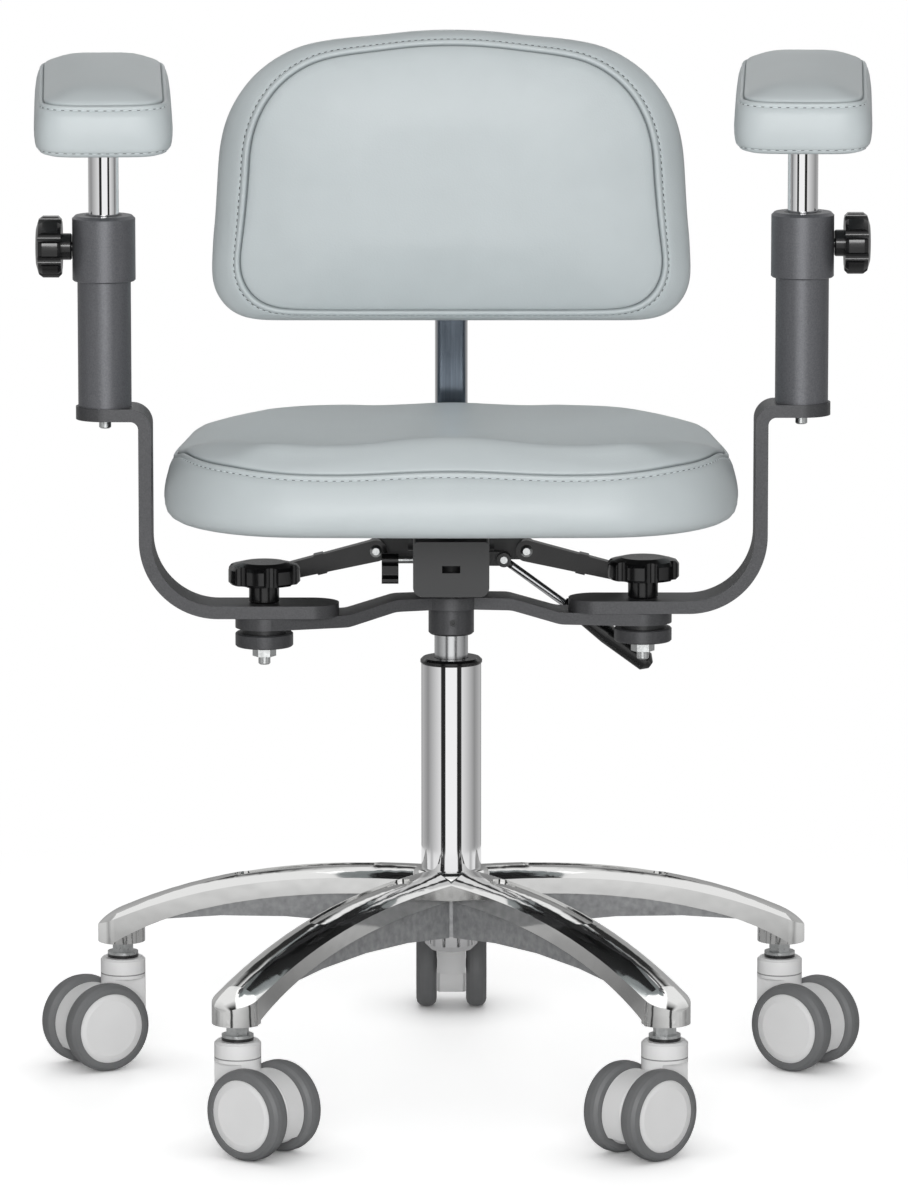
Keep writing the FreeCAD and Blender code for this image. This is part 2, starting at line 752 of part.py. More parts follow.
def yoke():
    """Bent steel plate on a clamp collar; its two ends carry the arms."""
    reach = PIVOT_X + ARM_W
    upper = []
    lower = []
    for x, drop in ((-reach, YOKE_DROP), (-YOKE_BEND_OUT, YOKE_DROP), (-YOKE_BEND_IN, 0), (YOKE_BEND_IN, 0),
                    (YOKE_BEND_OUT, YOKE_DROP), (reach, YOKE_DROP)):
        bend = YOKE_BEND_R if abs(x) < reach else 0.0
        lower.append((x, yoke_z - drop, bend))
        upper.insert(0, (x, yoke_top - drop, bend))
    plate = band(lower + upper, PIVOT_Y - ARM_W, ARM_W).common(yoke_plan())
    radius = COLLAR_D / 2
    collar = turned([(0, collar_z), (radius, collar_z, 1.5), (radius, yoke_z + 1), (0, yoke_z + 1)])
    holes = [disc(CYLINDER_D / 2 + FIT, collar_z - 1, yoke_top + 1)]
    for side in (-1, 1):
        holes.append(moved(disc(STUD_D / 2 + FIT, yoke_end_z - 5, yoke_top), x=side * PIVOT_X, y=PIVOT_Y))
    grub = along_y(disc(GRUB_D / 2 + FIT, -COLLAR_D, 0))
    holes.append(moved(grub, z=yoke_z - GRUB_BELOW))
    return turned_about(plate.fuse(collar).cut(holes), YOKE_TURN)


def yoke_screw():
    """Grub screw with a hexagon socket, in the front of the collar."""
    start = -COLLAR_D / 2 + 0.5
    screw = disc(GRUB_D / 2, start, -CYLINDER_D / 2 - 2 * FIT)
    socket = hexagon(GRUB_D / 2, start - 1, start + 2)
    return turned_about(moved(along_y(screw.cut(socket)), z=yoke_z - GRUB_BELOW), YOKE_TURN)


def at_pivots(shape):
    """A piece at each of the two arm pivots."""
    return [moved(shape, *pivot(side)) for side in (-1, 1)]


def friction_washer():
    """Dark washer between the yoke end and the pivot disc."""
    return disc(PIVOT_WASHER_D / 2, yoke_end_z - PIVOT_WASHER_T, yoke_end_z, STUD_D / 2 + FIT)


def pivot_disc():
    """Round steel disc that clamps the yoke end from below."""
    top = yoke_end_z - PIVOT_WASHER_T
    bore = STUD_D / 2 + FIT
    return turned([(bore, top - DISC_T), (DISC_D / 2, top - DISC_T, 1), (DISC_D / 2, top, 1), (bore, top)])


def pivot_bolt():
    """Stud through arm, yoke and disc, with its nut below."""
    disc_low = yoke_end_z - PIVOT_WASHER_T - DISC_T
    stud = turned([(0, disc_low - NUT_T - STUD_TAIL), (STUD_D / 2, disc_low - NUT_T - STUD_TAIL, 1),
                   (STUD_D / 2, arm_top + STUD_IN_KNOB), (0, arm_top + STUD_IN_KNOB)])
    return stud.fuse(hexagon(NUT_FLATS, disc_low - NUT_T, disc_low))


def pivot_knob():
    """Star knob over the arm, on the pivot stud."""
    low = arm_top + GAP
    stem = turned([(0, low), (KNOB_STEM_D / 2, low, 1), (KNOB_STEM_D / 2, low + KNOB_STEM_L + 2),
                   (0, low + KNOB_STEM_L + 2)])
    head = moved(lobed(KNOB_D / 2, KNOB_LOBES, KNOB_T, KNOB_DOME), z=low + KNOB_STEM_L)
    bore = disc(STUD_D / 2 + FIT, low - 1, arm_top + STUD_IN_KNOB + GAP)
    return stem.fuse(head).cut(bore)


# Arms, made with the pivot on Z and the post along +X


def at_arm(shape, side):
    """A copy of an arm piece on its side of the chair."""
    return moved(turned_about(shape, 0 if side > 0 else 180), *pivot(side))


def arm_bar():
    """Flat steel bar: lies on the yoke, bends up beside the seat and out to a flange."""
    inner = ARM_UPRIGHT
    outer = ARM_UPRIGHT + ARM_T
    end = ARM_REACH + ARM_W / 2
    flange = flange_top - ARM_T
    profile = [(-ARM_INNER, arm_z), (outer, arm_z, ARM_BEND), (outer, flange, FLANGE_BEND - ARM_T),
               (end, flange), (end, flange_top), (inner, flange_top, FLANGE_BEND),
               (inner, arm_top, ARM_BEND - ARM_T), (-ARM_INNER, arm_top)]
    half = ARM_W / 2
    bar = band(profile, -half, half)
    plan = slab([(-ARM_INNER, -half, 0.98 * half), (end, -half, 0.98 * half), (end, half, 0.98 * half),
                 (-ARM_INNER, half, 0.98 * half)], arm_z - 1, flange_top + 1)
    holes = [disc(STUD_D / 2 + FIT, arm_z - 1, arm_top + 1),
             moved(disc(SLEEVE_BOLT_D / 2 + FIT, flange - 1, flange_top + 1), x=ARM_REACH)]
    return bar.common(plan).cut(holes)


def arm_sleeve():
    """Stepped sleeve on the flange, with a wider head that takes the clamp screw."""
    bush = POST_D / 2 + FIT + BUSH_WALL + FIT
    bolt = SLEEVE_BOLT_D / 2 + FIT
    floor = flange_top + SLEEVE_FLOOR
    radius = SLEEVE_D / 2
    head = SLEEVE_HEAD_D / 2
    body = turned([(bolt, flange_top), (radius, flange_top), (radius, head_z), (head, head_z, 1),
                   (head, head_top, SLEEVE_BEVEL), (bush, head_top, 1), (bush, floor), (bolt, floor)])
    screw = moved(along_x(disc(CLAMP_SCREW_D / 2 + FIT, 0, SLEEVE_HEAD_D)), z=clamp_z)
    return moved(body.cut(screw), x=ARM_REACH)


def sleeve_bolt():
    """Bolt that draws the sleeve onto the flange from below."""
    low = flange_top - ARM_T - SLEEVE_BOLT_TAIL
    high = flange_top + SLEEVE_FLOOR - GAP
    radius = SLEEVE_BOLT_D / 2
    return moved(turned([(0, low), (radius, low, 1), (radius, high), (0, high)]), x=ARM_REACH)


def clamp_bush():
    """Plastic liner in the sleeve; the post turns with it and slides in it."""
    inner = POST_D / 2 + FIT
    low = flange_top + SLEEVE_FLOOR + BUSH_LOW
    return moved(disc(inner + BUSH_WALL, low, head_top - BUSH_TOP, inner), x=ARM_REACH)


def clamp_knob():
    """Lobed hand knob with its stepped hub and screw, on the outer side of the sleeve head."""
    screw_start = POST_D / 2 + 2 * FIT + BUSH_WALL + FIT
    hub_start = SLEEVE_HEAD_D / 2 + GAP
    head_start = hub_start + CLAMP_HUB_L
    radius = CLAMP_HUB_D / 2
    hub = turned([(0, hub_start), (radius, hub_start, 1), (radius, head_start + 1), (0, head_start + 1)])
    head = moved(lobed(CLAMP_KNOB_D / 2, CLAMP_LOBES, CLAMP_KNOB_T - KNOB_DOME, KNOB_DOME), z=head_start)
    body = hub.fuse([head, disc(CLAMP_SCREW_D / 2, screw_start, head_start)])
    return moved(along_x(body), x=ARM_REACH, z=clamp_z)


def on_post(shape, side):
    """A copy of a pad piece, set on its post at the pad's slope and toe-in."""
    sloped = turned_about(shape, side * PAD_TILT, vector(1, 0, 0))
    return moved(turned_about(sloped, -side * PAD_TOE), x=ARM_REACH, z=pad_z)


def arm_post(side):
    """Chrome post with the small plate that is let into the pad."""
    plate = slab(rectangle(PAD_PLATE_W / 2, PAD_PLATE_L / 2, 6), GAP, GAP + PAD_PLATE_T)
    post = disc(POST_D / 2, head_top - POST_SINK, pad_z + PAD_PLATE_T / 2)
    return moved(post, x=ARM_REACH).fuse(on_post(plate, side))


def arm_pad(side):
    """Padded rest: drawn-in lower edge, full sides, sewn upper edge and a crowned top."""
    layers = padded_layers(PAD_TUCK, PAD_WAIST, PAD_SHOULDER, PAD_H)
    edge_height, edge_inset = layers[-1]
    for share in (1 / 3, 2 / 3, 1):
        layers.append((edge_height + PAD_CROWN * (1 - (1 - share) ** 2), edge_inset + PAD_DOME * share))
    sections = []
    for height, inset in layers:
        outline = rectangle(PAD_W / 2 - inset, PAD_L / 2 - inset, max(PAD_CORNER - 0.5 * inset, 3))
        sections.append(moved(rounded(outline), z=height))
    pad = Part.makeLoft(sections, True, True)
    pocket = slab(rectangle(PAD_PLATE_W / 2 + GAP, PAD_PLATE_L / 2 + GAP, 6), -1, PAD_PLATE_T + 2 * GAP)
    return on_post(pad.cut(pocket), side)


# Mechanism


def side_bracket(side, reach, height, low, front):
    """Flat plate on a side wall of the tray, with a round end for a lever pivot."""
    wall = MECH_W / 2 - MECH_WALL / 2
    half = height / 2
    start = side * wall
    end = side * reach
    high = low + height
    plate = band([(start, low), (end, low), (end, high), (start, high)], front, front + BRACKET_T)
    return plate.fuse(moved(along_y(disc(half, front, front + BRACKET_T)), x=end, z=low + half))


def mechanism_housing():
    """Pressed tray under the seat: rounded lower edges, notched front, socket for the gas cylinder."""
    half = MECH_W / 2
    inner = half - MECH_WALL
    floor = mech_z + MECH_WALL
    tray = band([(-half, mech_z, MECH_ROUND), (half, mech_z, MECH_ROUND), (half, split_z), (-half, split_z)],
                -MECH_FRONT, MECH_BACK)
    corner = MECH_ROUND - MECH_WALL
    room = band([(-inner, floor, corner), (inner, floor, corner), (inner, split_z + 1), (-inner, split_z + 1)],
                -MECH_FRONT + MECH_WALL, MECH_BACK + 1)
    tray = tray.cut(room).fuse(disc(SOCKET_D / 2, mech_z, split_z))
    bracket_low = lever_z - BRACKET_H / 2
    back = LEVER_Y + LEVER_T + GAP
    lift_low = lift_z - LIFT_EYE_D / 2
    lift_back = LIFT_Y + LIFT_EYE_T / 2 + GAP
    tray = tray.fuse([side_bracket(-1, LEVER_X, BRACKET_H, bracket_low, back),
                      side_bracket(1, LEVER_X, BRACKET_H, bracket_low, back),
                      side_bracket(1, LIFT_X, LIFT_EYE_D, lift_low, lift_back)])
    tray = tray.cut(room.cut(disc(SOCKET_D / 2, mech_z, split_z)))
    screw = along_y(disc(SCREW_D / 2 + FIT, 0, MECH_BACK))
    holes = [disc(CYLINDER_D / 2 + FIT, mech_z - 1, split_z + 1),
             box(half + GAP, -MECH_FRONT, MECH_BACK, split_z, cover_top),
             box(NOTCH_W / 2, -MECH_FRONT - 1, -MECH_FRONT + MECH_WALL + 1, split_z - NOTCH_H, split_z + 1),
             moved(along_x(disc(PIN_D / 2 + FIT, -MECH_W, MECH_W)), y=BACK_PIN_Y, z=back_pin_z),
             moved(along_x(disc(SCREW_D / 2 + FIT, -MECH_W, -inner + 2)), y=HOOK_Y, z=hook_z)]
    holes += [moved(screw, x=x, z=z) for x, z in ((-LEVER_X, lever_z), (LEVER_X, lever_z), (LIFT_X, lift_z))]
    return tray.cut(holes)


def mechanism_cover():
    """Pressed cover that closes the tray from above and holds the seat pin."""
    half = MECH_W / 2
    inner = half - MECH_WALL
    cover = band([(-half, split_z), (half, split_z), (half, cover_top, COVER_ROUND),
                  (-half, cover_top, COVER_ROUND)], -MECH_FRONT, MECH_BACK)
    room = band([(-inner, split_z - 1), (inner, split_z - 1), (inner, cover_top - MECH_WALL),
                 (-inner, cover_top - MECH_WALL)], -MECH_FRONT + MECH_WALL, MECH_BACK + 1)
    pin = moved(along_x(disc(PIN_D / 2 + FIT, -MECH_W, MECH_W)), y=SEAT_PIN_Y, z=seat_pin_z)
    return cover.cut([room, pin])


def lever_screw():
    """Pan-head screw along +Y, with its head before the lever."""
    length = LEVER_T + GAP + BRACKET_T
    head = turned([(0, -SCREW_HEAD_T), (SCREW_HEAD_D / 2, -SCREW_HEAD_T, 2), (SCREW_HEAD_D / 2, 0), (0, 0)])
    return along_y(disc(SCREW_D / 2, -1, length).fuse(head))


def mechanism_pins():
    """Hinge pins of seat and back, lever screws, and the pins of lift rod and hook."""
    ear = MECH_W / 2 + GAP + EAR_T
    lift_half = LIFT_EYE_T / 2
    seat_pin = moved(along_x(disc(PIN_D / 2, -ear, ear)), y=SEAT_PIN_Y, z=seat_pin_z)
    back_pin = moved(along_x(disc(PIN_D / 2, -MECH_W / 2, MECH_W / 2)), y=BACK_PIN_Y, z=back_pin_z)
    lift_pin = disc(SCREW_D / 2, -lift_half, lift_half + GAP + BRACKET_T)
    hook_pin = along_x(disc(SCREW_D / 2, -HOOK_X - HOOK_W / 2, -MECH_W / 2 + MECH_WALL))
    screws = [moved(lever_screw(), x, LEVER_Y - GAP, lever_z) for x in (-LEVER_X, LEVER_X)]
    lift_pin = moved(along_y(lift_pin), LIFT_X, LIFT_Y, lift_z)
    return [seat_pin, back_pin, lift_pin, moved(hook_pin, y=HOOK_Y, z=hook_z)] + screws


def side_lever(side):
    """Moulded paddle lever: round hub, tapering arm and a raised band across it."""
    hub = LEVER_HUB_D / 2
    end = LEVER_END_D / 2
    arm = band([(0, -hub), (LEVER_L, -end, end * 0.9), (LEVER_L, end, end * 0.9), (0, hub)], 0, LEVER_T)
    swell = LEVER_BAND_T
    reach = hub + (end - hub) * LEVER_BAND_AT / LEVER_L + swell
    start = LEVER_BAND_AT
    stop = LEVER_BAND_AT + LEVER_BAND_L
    ring = band([(start, -reach), (stop, -reach), (stop, reach), (start, reach)], -swell, LEVER_T + swell)
    bore = along_y(disc(SCREW_D / 2 + FIT, -1, LEVER_T + 1))
    body = arm.fuse([along_y(disc(hub, 0, LEVER_T)), ring]).cut(bore)
    body = turned_about(body, LEVER_FALL, vector(0, 1, 0))
    if side < 0:
        body = body.mirror(ORIGIN, vector(1, 0, 0))
    return moved(body, side * LEVER_X, LEVER_Y, lever_z)


def lift_line(shape):
    """A copy of a lift lever piece made along +X, set on its pivot and sloping down to the right."""
    return moved(turned_about(shape, LIFT_FALL, vector(0, 1, 0)), LIFT_X, LIFT_Y, lift_z)


def lift_rod():
    """Chrome rod with an eye on its pivot."""
    half = LIFT_EYE_T / 2
    eye = along_y(disc(LIFT_EYE_D / 2, -half, half))
    rod = along_x(disc(LIFT_ROD_D / 2, 0, LIFT_ROD_L))
    return lift_line(eye.fuse(rod).cut(along_y(disc(SCREW_D / 2 + FIT, -half - 1, half + 1))))


def lift_grip():
    """Black grip: swells from a neck and closes in a rounded end."""
    end = GRIP_START + GRIP_L
    grip = turned([(0, GRIP_START), (GRIP_NECK_D / 2, GRIP_START, 1), (GRIP_NECK_D / 2, GRIP_START + 8),
                   (GRIP_D / 2, GRIP_START + 0.5 * GRIP_L), (GRIP_D / 2, end, 0.3 * GRIP_D), (0, end)])
    bore = disc(LIFT_ROD_D / 2 + FIT, GRIP_START - 1, LIFT_ROD_L + GAP)
    return lift_line(along_x(grip.cut(bore)))


def tilt_hook():
    """Small hanging catch with a bent toe, on its pin beside the tray."""
    hub = along_x(disc(HOOK_HUB_D / 2, -HOOK_W / 2, HOOK_W / 2))
    half = HOOK_T / 2
    side = [(half, 0), (half, -HOOK_L, 1.5), (-HOOK_TOE, -HOOK_L, 1.5), (-HOOK_TOE, -HOOK_L + HOOK_T, 1.5),
            (-half, -HOOK_L + HOOK_T, 2), (-half, 0)]
    tab = turned_about(band(side, -HOOK_W / 2, HOOK_W / 2), 90)
    bore = along_x(disc(SCREW_D / 2 + FIT, -HOOK_W, HOOK_W))
    return moved(hub.fuse(tab).cut(bore), -HOOK_X, HOOK_Y, hook_z)


# Seat


def seat_outline(inset):
    """Plan of the seat, drawn in by an inset."""
    front = SEAT_FRONT_HALF - inset
    back = SEAT_BACK_HALF - inset
    half = SEAT_HALF - inset
    front_y = -SEAT_FRONT + inset
    back_y = SEAT_BACK - inset
    front_r = SEAT_FRONT_R - inset
    back_r = SEAT_BACK_R - inset
    side_r = SEAT_SIDE_R - inset
    front_bow = (0, front_y - SEAT_BOW, side_r)
    back_bow = (0, back_y + SEAT_BOW, side_r)
    right = (half, SEAT_WIDEST, side_r)
    left = (-half, SEAT_WIDEST, side_r)
    return rounded([(-front, front_y, front_r), front_bow, (front, front_y, front_r), right,
                    (back, back_y, back_r), back_bow, (-back, back_y, back_r), left])


def saddle_line(y, height, hump_r, side_r):
    """Line across the seat top: a hump in the middle running into a hollow at each thigh."""
    slope = math.asin(SADDLE_HALF / hump_r)
    join = height - hump_r * (1 - math.cos(slope))
    low_x = SADDLE_HALF + side_r * math.sin(slope)
    low_z = join - side_r * (1 - math.cos(slope))
    reach = SEAT_HALF + SADDLE_SIDE

    def hollow(x):
        return low_z + side_r - math.sqrt(side_r ** 2 - (x - low_x) ** 2)

    def point(x, z):
        return vector(x, y, seat_z + z)
    middle = (SADDLE_HALF + reach) / 2
    top = SEAT_H + SADDLE_OVER
    hump = [point(-SADDLE_HALF, join), point(0, height), point(SADDLE_HALF, join)]
    right = [point(x, hollow(x)) for x in (SADDLE_HALF, middle, reach)]
    left = [point(-x, hollow(x)) for x in (reach, middle, SADDLE_HALF)]
    corners = [right[2], point(reach, top), point(-reach, top), left[0]]
    rim = [Part.makeLine(start, end) for start, end in zip(corners, corners[1:])]
    return Part.Wire([Part.Arc(*points).toShape() for points in (left, hump, right)] + rim)


def seat_cushion():
    """Moulded seat: full sides drawn in below and at the seam, and a saddle-shaped top."""
    layers = padded_layers(SEAT_TUCK, SEAT_WAIST, SEAT_SHOULDER, SEAT_H)
    outlines = [moved(seat_outline(inset), z=seat_z + height) for height, inset in layers]
    crest = (SADDLE_R, VALLEY_R)
    bowl = (BOWL_R, BOWL_SIDE_R)
    rim = (RIM_R, RIM_SIDE_R)
    lines = [saddle_line(-SEAT_FRONT - SADDLE_OVER, SEAT_CREST + 3, *crest),
             saddle_line(SEAT_CREST_Y, SEAT_CREST, *crest),
             saddle_line((SEAT_CREST_Y + SEAT_BOWL_Y) / 2, SEAT_BOWL + 6, *bowl),
             saddle_line(SEAT_BOWL_Y, SEAT_BOWL, *bowl),
             saddle_line(SEAT_BACK - SEAT_RIM_IN, SEAT_RIM, *rim),
             saddle_line(SEAT_BACK + SADDLE_OVER, SEAT_RIM + 2, *rim)]
    pocket_top = shell_z + SHELL_T + GAP
    pocket = moved(Part.Face(seat_outline(SHELL_INSET - GAP)), z=seat_z - 1)
    pocket = pocket.extrude(vector(0, 0, pocket_top - seat_z + 1))
    return Part.makeLoft(outlines, True, True).cut([Part.makeLoft(lines, True), pocket])


def seat_shell():
    """Moulded pan let into the underside of the cushion, with a rounded lower edge."""
    lower = moved(seat_outline(SHELL_INSET + 4), z=shell_z)
    middle = moved(seat_outline(SHELL_INSET), z=shell_z + 0.5 * SHELL_T)
    upper = moved(seat_outline(SHELL_INSET), z=shell_z + SHELL_T)
    return Part.makeLoft([lower, middle, upper], True, True)


def seat_plate():
    """Steel plate under the pan, with an ear on each side of the mechanism for the seat pin."""
    plate = slab(rectangle(SEAT_PLATE_W / 2, SEAT_PLATE_L / 2, SEAT_PLATE_R), plate_z, shell_z)
    plate = moved(plate, y=SEAT_PIN_Y)
    inner = MECH_W / 2 + GAP
    low = seat_pin_z - EAR_BELOW
    side = [(-EAR_HALF, low, 8), (EAR_HALF, low, 8), (EAR_HALF, plate_z + 1), (-EAR_HALF, plate_z + 1)]
    ear = turned_about(band(side, 0, EAR_T), 90)
    pin = moved(along_x(disc(PIN_D / 2 + FIT, -MECH_W, MECH_W)), y=SEAT_PIN_Y, z=seat_pin_z)
    ears = [moved(ear, x=inner + EAR_T, y=SEAT_PIN_Y), moved(ear, x=-inner, y=SEAT_PIN_Y)]
    return plate.fuse(ears).cut(pin)


# Back


def back_bar():
    """Chrome flat bar on the back pin, bent up behind the seat."""
    start = vector(0, BACK_PIN_Y, back_pin_z)
    bend_start = vector(0, BAR_Y - BAR_BEND, back_pin_z)
    bend_end = vector(0, BAR_Y, back_pin_z + BAR_BEND)
    slant = BAR_BEND * math.sqrt(0.5)
    bend_middle = vector(0, BAR_Y - BAR_BEND + slant, back_pin_z + BAR_BEND - slant)
    path = Part.Wire([Part.makeLine(start, bend_start), Part.Arc(bend_start, bend_middle, bend_end).toShape(),
                      Part.makeLine(bend_end, vector(0, BAR_Y, back_pin_z + BAR_RISE))])
    section = moved(upright(rounded(rectangle(BAR_W / 2, BAR_T / 2, BAR_EDGE))), y=BACK_PIN_Y, z=back_pin_z)
    bar = path.makePipeShell([section], True, False)
    eye = moved(along_x(disc(BAR_EYE_D / 2, -BAR_W / 2, BAR_W / 2)), y=BACK_PIN_Y, z=back_pin_z)
    pin = moved(along_x(disc(PIN_D / 2 + FIT, -BAR_W, BAR_W)), y=BACK_PIN_Y, z=back_pin_z)
    return bar.fuse(eye).cut(pin)


def back_outline(inset, y):
    """Outline of the back in XZ: wide foot, round shoulders and an arched top."""
    half = BACK_HALF - inset
    shoulder = BACK_SHOULDER_HALF - inset
    low = back_low + 0.5 * inset
    high = back_top - BACK_ARCH - 0.6 * inset
    radius = BACK_SHOULDER_R - 0.4 * inset
    wire = rounded([(-half, low, BACK_CORNER), (half, low, BACK_CORNER), (shoulder, high, radius),
                    (0, back_top - 0.5 * inset, BACK_ARCH_R), (-shoulder, high, radius)])
    return moved(upright(wire), y=y)


def back_cushion():
    """Padded back: full rear edge, side band drawn in to the sewn edge, crowned front panel."""
    layers = padded_layers(BACK_TUCK, BACK_WAIST, BACK_SHOULDER_IN, BACK_DEPTH)
    outlines = [back_outline(inset, BACK_REAR - GAP - depth) for depth, inset in layers]
    return Part.makeLoft(outlines, True, True)


def back_shell():
    """Moulded rear cover of the back, with a rounded edge."""
    end = BACK_REAR + BACK_SHELL_T
    layers = ((BACK_REAR, BACK_SHELL_INSET - 4), (BACK_REAR + 0.5 * BACK_SHELL_T, BACK_SHELL_INSET),
              (end, BACK_SHELL_INSET + 12))
    return Part.makeLoft([back_outline(inset, y) for y, inset in layers], True, True)


def back_bracket():
    """Plate on the rear cover with a slider round the back bar and a boss for the knob."""
    face = BACK_REAR + BACK_SHELL_T
    plate = moved(upright(slab(rectangle(PLATE_W / 2, PLATE_H / 2, 12), -PLATE_T, 0)), y=face, z=slider_z)
    low = slider_z - SLIDER_H / 2
    high = slider_z + SLIDER_H / 2
    slider = moved(slab(rectangle(SLIDER_W / 2, SLIDER_D / 2, 4), low, high), y=BAR_Y)
    bridge = box(SLIDER_W / 2 - 4, face + PLATE_T / 2, BAR_Y, low, high)
    end = BAR_Y + SLIDER_D / 2 + BOSS_L
    boss = moved(along_y(disc(BOSS_D / 2, BAR_Y, end)), z=slider_z)
    track = slab(rectangle(BAR_W / 2 + GAP, BAR_T / 2 + GAP, BAR_EDGE), back_low, back_top)
    screw = moved(along_y(disc(BACK_STUD_D / 2 + FIT, BAR_Y, end + 1)), z=slider_z)
    return plate.fuse([slider, bridge, boss]).cut([moved(track, y=BAR_Y), screw])


def back_knob():
    """Lobed knob behind the back, with the screw that clamps the slider to the bar."""
    start = BAR_Y + BAR_T / 2 + GAP
    head_start = BAR_Y + SLIDER_D / 2 + BOSS_L + GAP
    head = moved(lobed(BACK_KNOB_D / 2, BACK_KNOB_LOBES, BACK_KNOB_T - KNOB_DOME, KNOB_DOME), z=head_start)
    return moved(along_y(disc(BACK_STUD_D / 2, start, head_start + 1).fuse(head)), z=slider_z)


# All pieces, each in its own file


def chair():
    """Every node of the chair and its solids."""
    nodes = {"star_base": star_base(), "column_tube": column_tube(), "column_ring": column_ring(),
             "column_foot": column_foot(), "thrust_bearing": thrust_bearing(), "piston_rod": piston_rod(),
             "gas_cylinder": gas_cylinder(), "mechanism_housing": mechanism_housing(),
             "mechanism_cover": mechanism_cover(), "mechanism_pins": mechanism_pins(),
             "left_lever": side_lever(-1), "right_lever": side_lever(1), "lift_rod": lift_rod(),
             "lift_grip": lift_grip(), "tilt_hook": tilt_hook(), "yoke": yoke(), "yoke_screw": yoke_screw(),
             "pivot_discs": at_pivots(pivot_disc()), "pivot_bolts": at_pivots(pivot_bolt()),
             "friction_washers": at_pivots(friction_washer()), "seat_plate": seat_plate(),
             "seat_shell": seat_shell(), "seat_cushion": seat_cushion(), "back_bar": back_bar(),
             "back_bracket": back_bracket(), "back_shell": back_shell(), "back_cushion": back_cushion(),
             "back_knob": back_knob()}
    nodes["caster_stems"] = [at_leg(caster_stem(), i) for i in range(LEGS)]
    for i in range(LEGS):
        nodes[f"caster_{i + 1}_housing"] = at_leg(caster_housing(), i)
        nodes[f"caster_{i + 1}_wheels"] = [at_leg(piece, i) for piece in caster_wheels()]
        nodes[f"caster_{i + 1}_tyres"] = [at_leg(piece, i) for piece in caster_tyres()]
    for name, side in (("left", -1), ("right", 1)):
        nodes[f"{name}_pivot_knob"] = moved(pivot_knob(), *pivot(side))
        nodes[f"{name}_arm_bar"] = at_arm(arm_bar(), side)
        nodes[f"{name}_arm_sleeve"] = at_arm(arm_sleeve(), side)
        nodes[f"{name}_sleeve_bolt"] = at_arm(sleeve_bolt(), side)
        nodes[f"{name}_clamp_bush"] = at_arm(clamp_bush(), side)
        nodes[f"{name}_arm_post"] = at_arm(arm_post(side), side)
        nodes[f"{name}_arm_pad"] = at_arm(arm_pad(side), side)
        nodes[f"{name}_clamp_knob"] = at_arm(clamp_knob(), side)
    return nodes


os.makedirs("parts", exist_ok=True)
for name, shape in chair().items():
    solid = Part.makeCompound(shape) if isinstance(shape, list) else shape
    solid.exportStep(f"parts/{name}.step")
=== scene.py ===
import math

import bmesh
import bpy
import numpy as np
from mathutils import Matrix, Vector
from mathutils.bvhtree import BVHTree


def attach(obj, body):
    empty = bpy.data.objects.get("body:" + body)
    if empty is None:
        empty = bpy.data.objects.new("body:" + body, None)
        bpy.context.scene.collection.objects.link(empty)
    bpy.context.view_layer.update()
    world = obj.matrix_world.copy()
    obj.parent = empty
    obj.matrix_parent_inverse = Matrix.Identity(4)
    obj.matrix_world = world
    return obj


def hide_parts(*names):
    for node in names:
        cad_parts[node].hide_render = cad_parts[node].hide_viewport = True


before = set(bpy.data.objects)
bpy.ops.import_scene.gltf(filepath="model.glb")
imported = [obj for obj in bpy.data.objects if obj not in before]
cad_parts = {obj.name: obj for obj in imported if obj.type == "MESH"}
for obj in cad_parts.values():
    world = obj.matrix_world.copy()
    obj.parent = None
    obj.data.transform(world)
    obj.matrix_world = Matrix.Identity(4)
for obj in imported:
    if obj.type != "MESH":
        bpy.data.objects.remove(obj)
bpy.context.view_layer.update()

# Stage: a seamless white paper sweep in a white room, with dark flags at both sides that shade the cushions.
# Polished metal mirrors the room, the dark gaps between the soft boxes and two dark strips of ceiling,
# so the world shows those to mirror rays alone.
bpy.ops.object.select_all(action="DESELECT")
scene = bpy.context.scene
scene.view_settings.view_transform = "Standard"


def linear(code):
    """A colour written as sRGB hex, as linear red, green, blue and alpha."""
    parts = [int(code[i:i + 2], 16) / 255 for i in (1, 3, 5)]
    return [p / 12.92 if p <= 0.04045 else ((p + 0.055) / 1.055) ** 2.4 for p in parts] + [1.0]


def add(tree, kind, links=None, **settings):
    """Adds a node: links fill its inputs with sockets or plain values, settings are its own options."""
    node = tree.nodes.new(kind)
    for option, value in settings.items():
        setattr(node, option, value)
    for name, value in (links or {}).items():
        if isinstance(value, bpy.types.NodeSocket):
            tree.links.new(value, node.inputs[name])
        else:
            node.inputs[name].default_value = value
    return node


room_light = 0.3
flag_light = 0.1
mirror_white = 0.95
mirror_sides = 0.5
mirror_dark = 0.03
room = bpy.data.worlds.new("studio_room")
scene.world = room
room.use_nodes = True
tree = room.node_tree
tree.nodes.clear()
rays = add(tree, "ShaderNodeLightPath")
place = add(tree, "ShaderNodeTexCoord")
aim = add(tree, "ShaderNodeSeparateXYZ", {0: place.outputs["Generated"]})
across = add(tree, "ShaderNodeMath", {0: aim.outputs["X"]}, operation="ABSOLUTE").outputs[0]
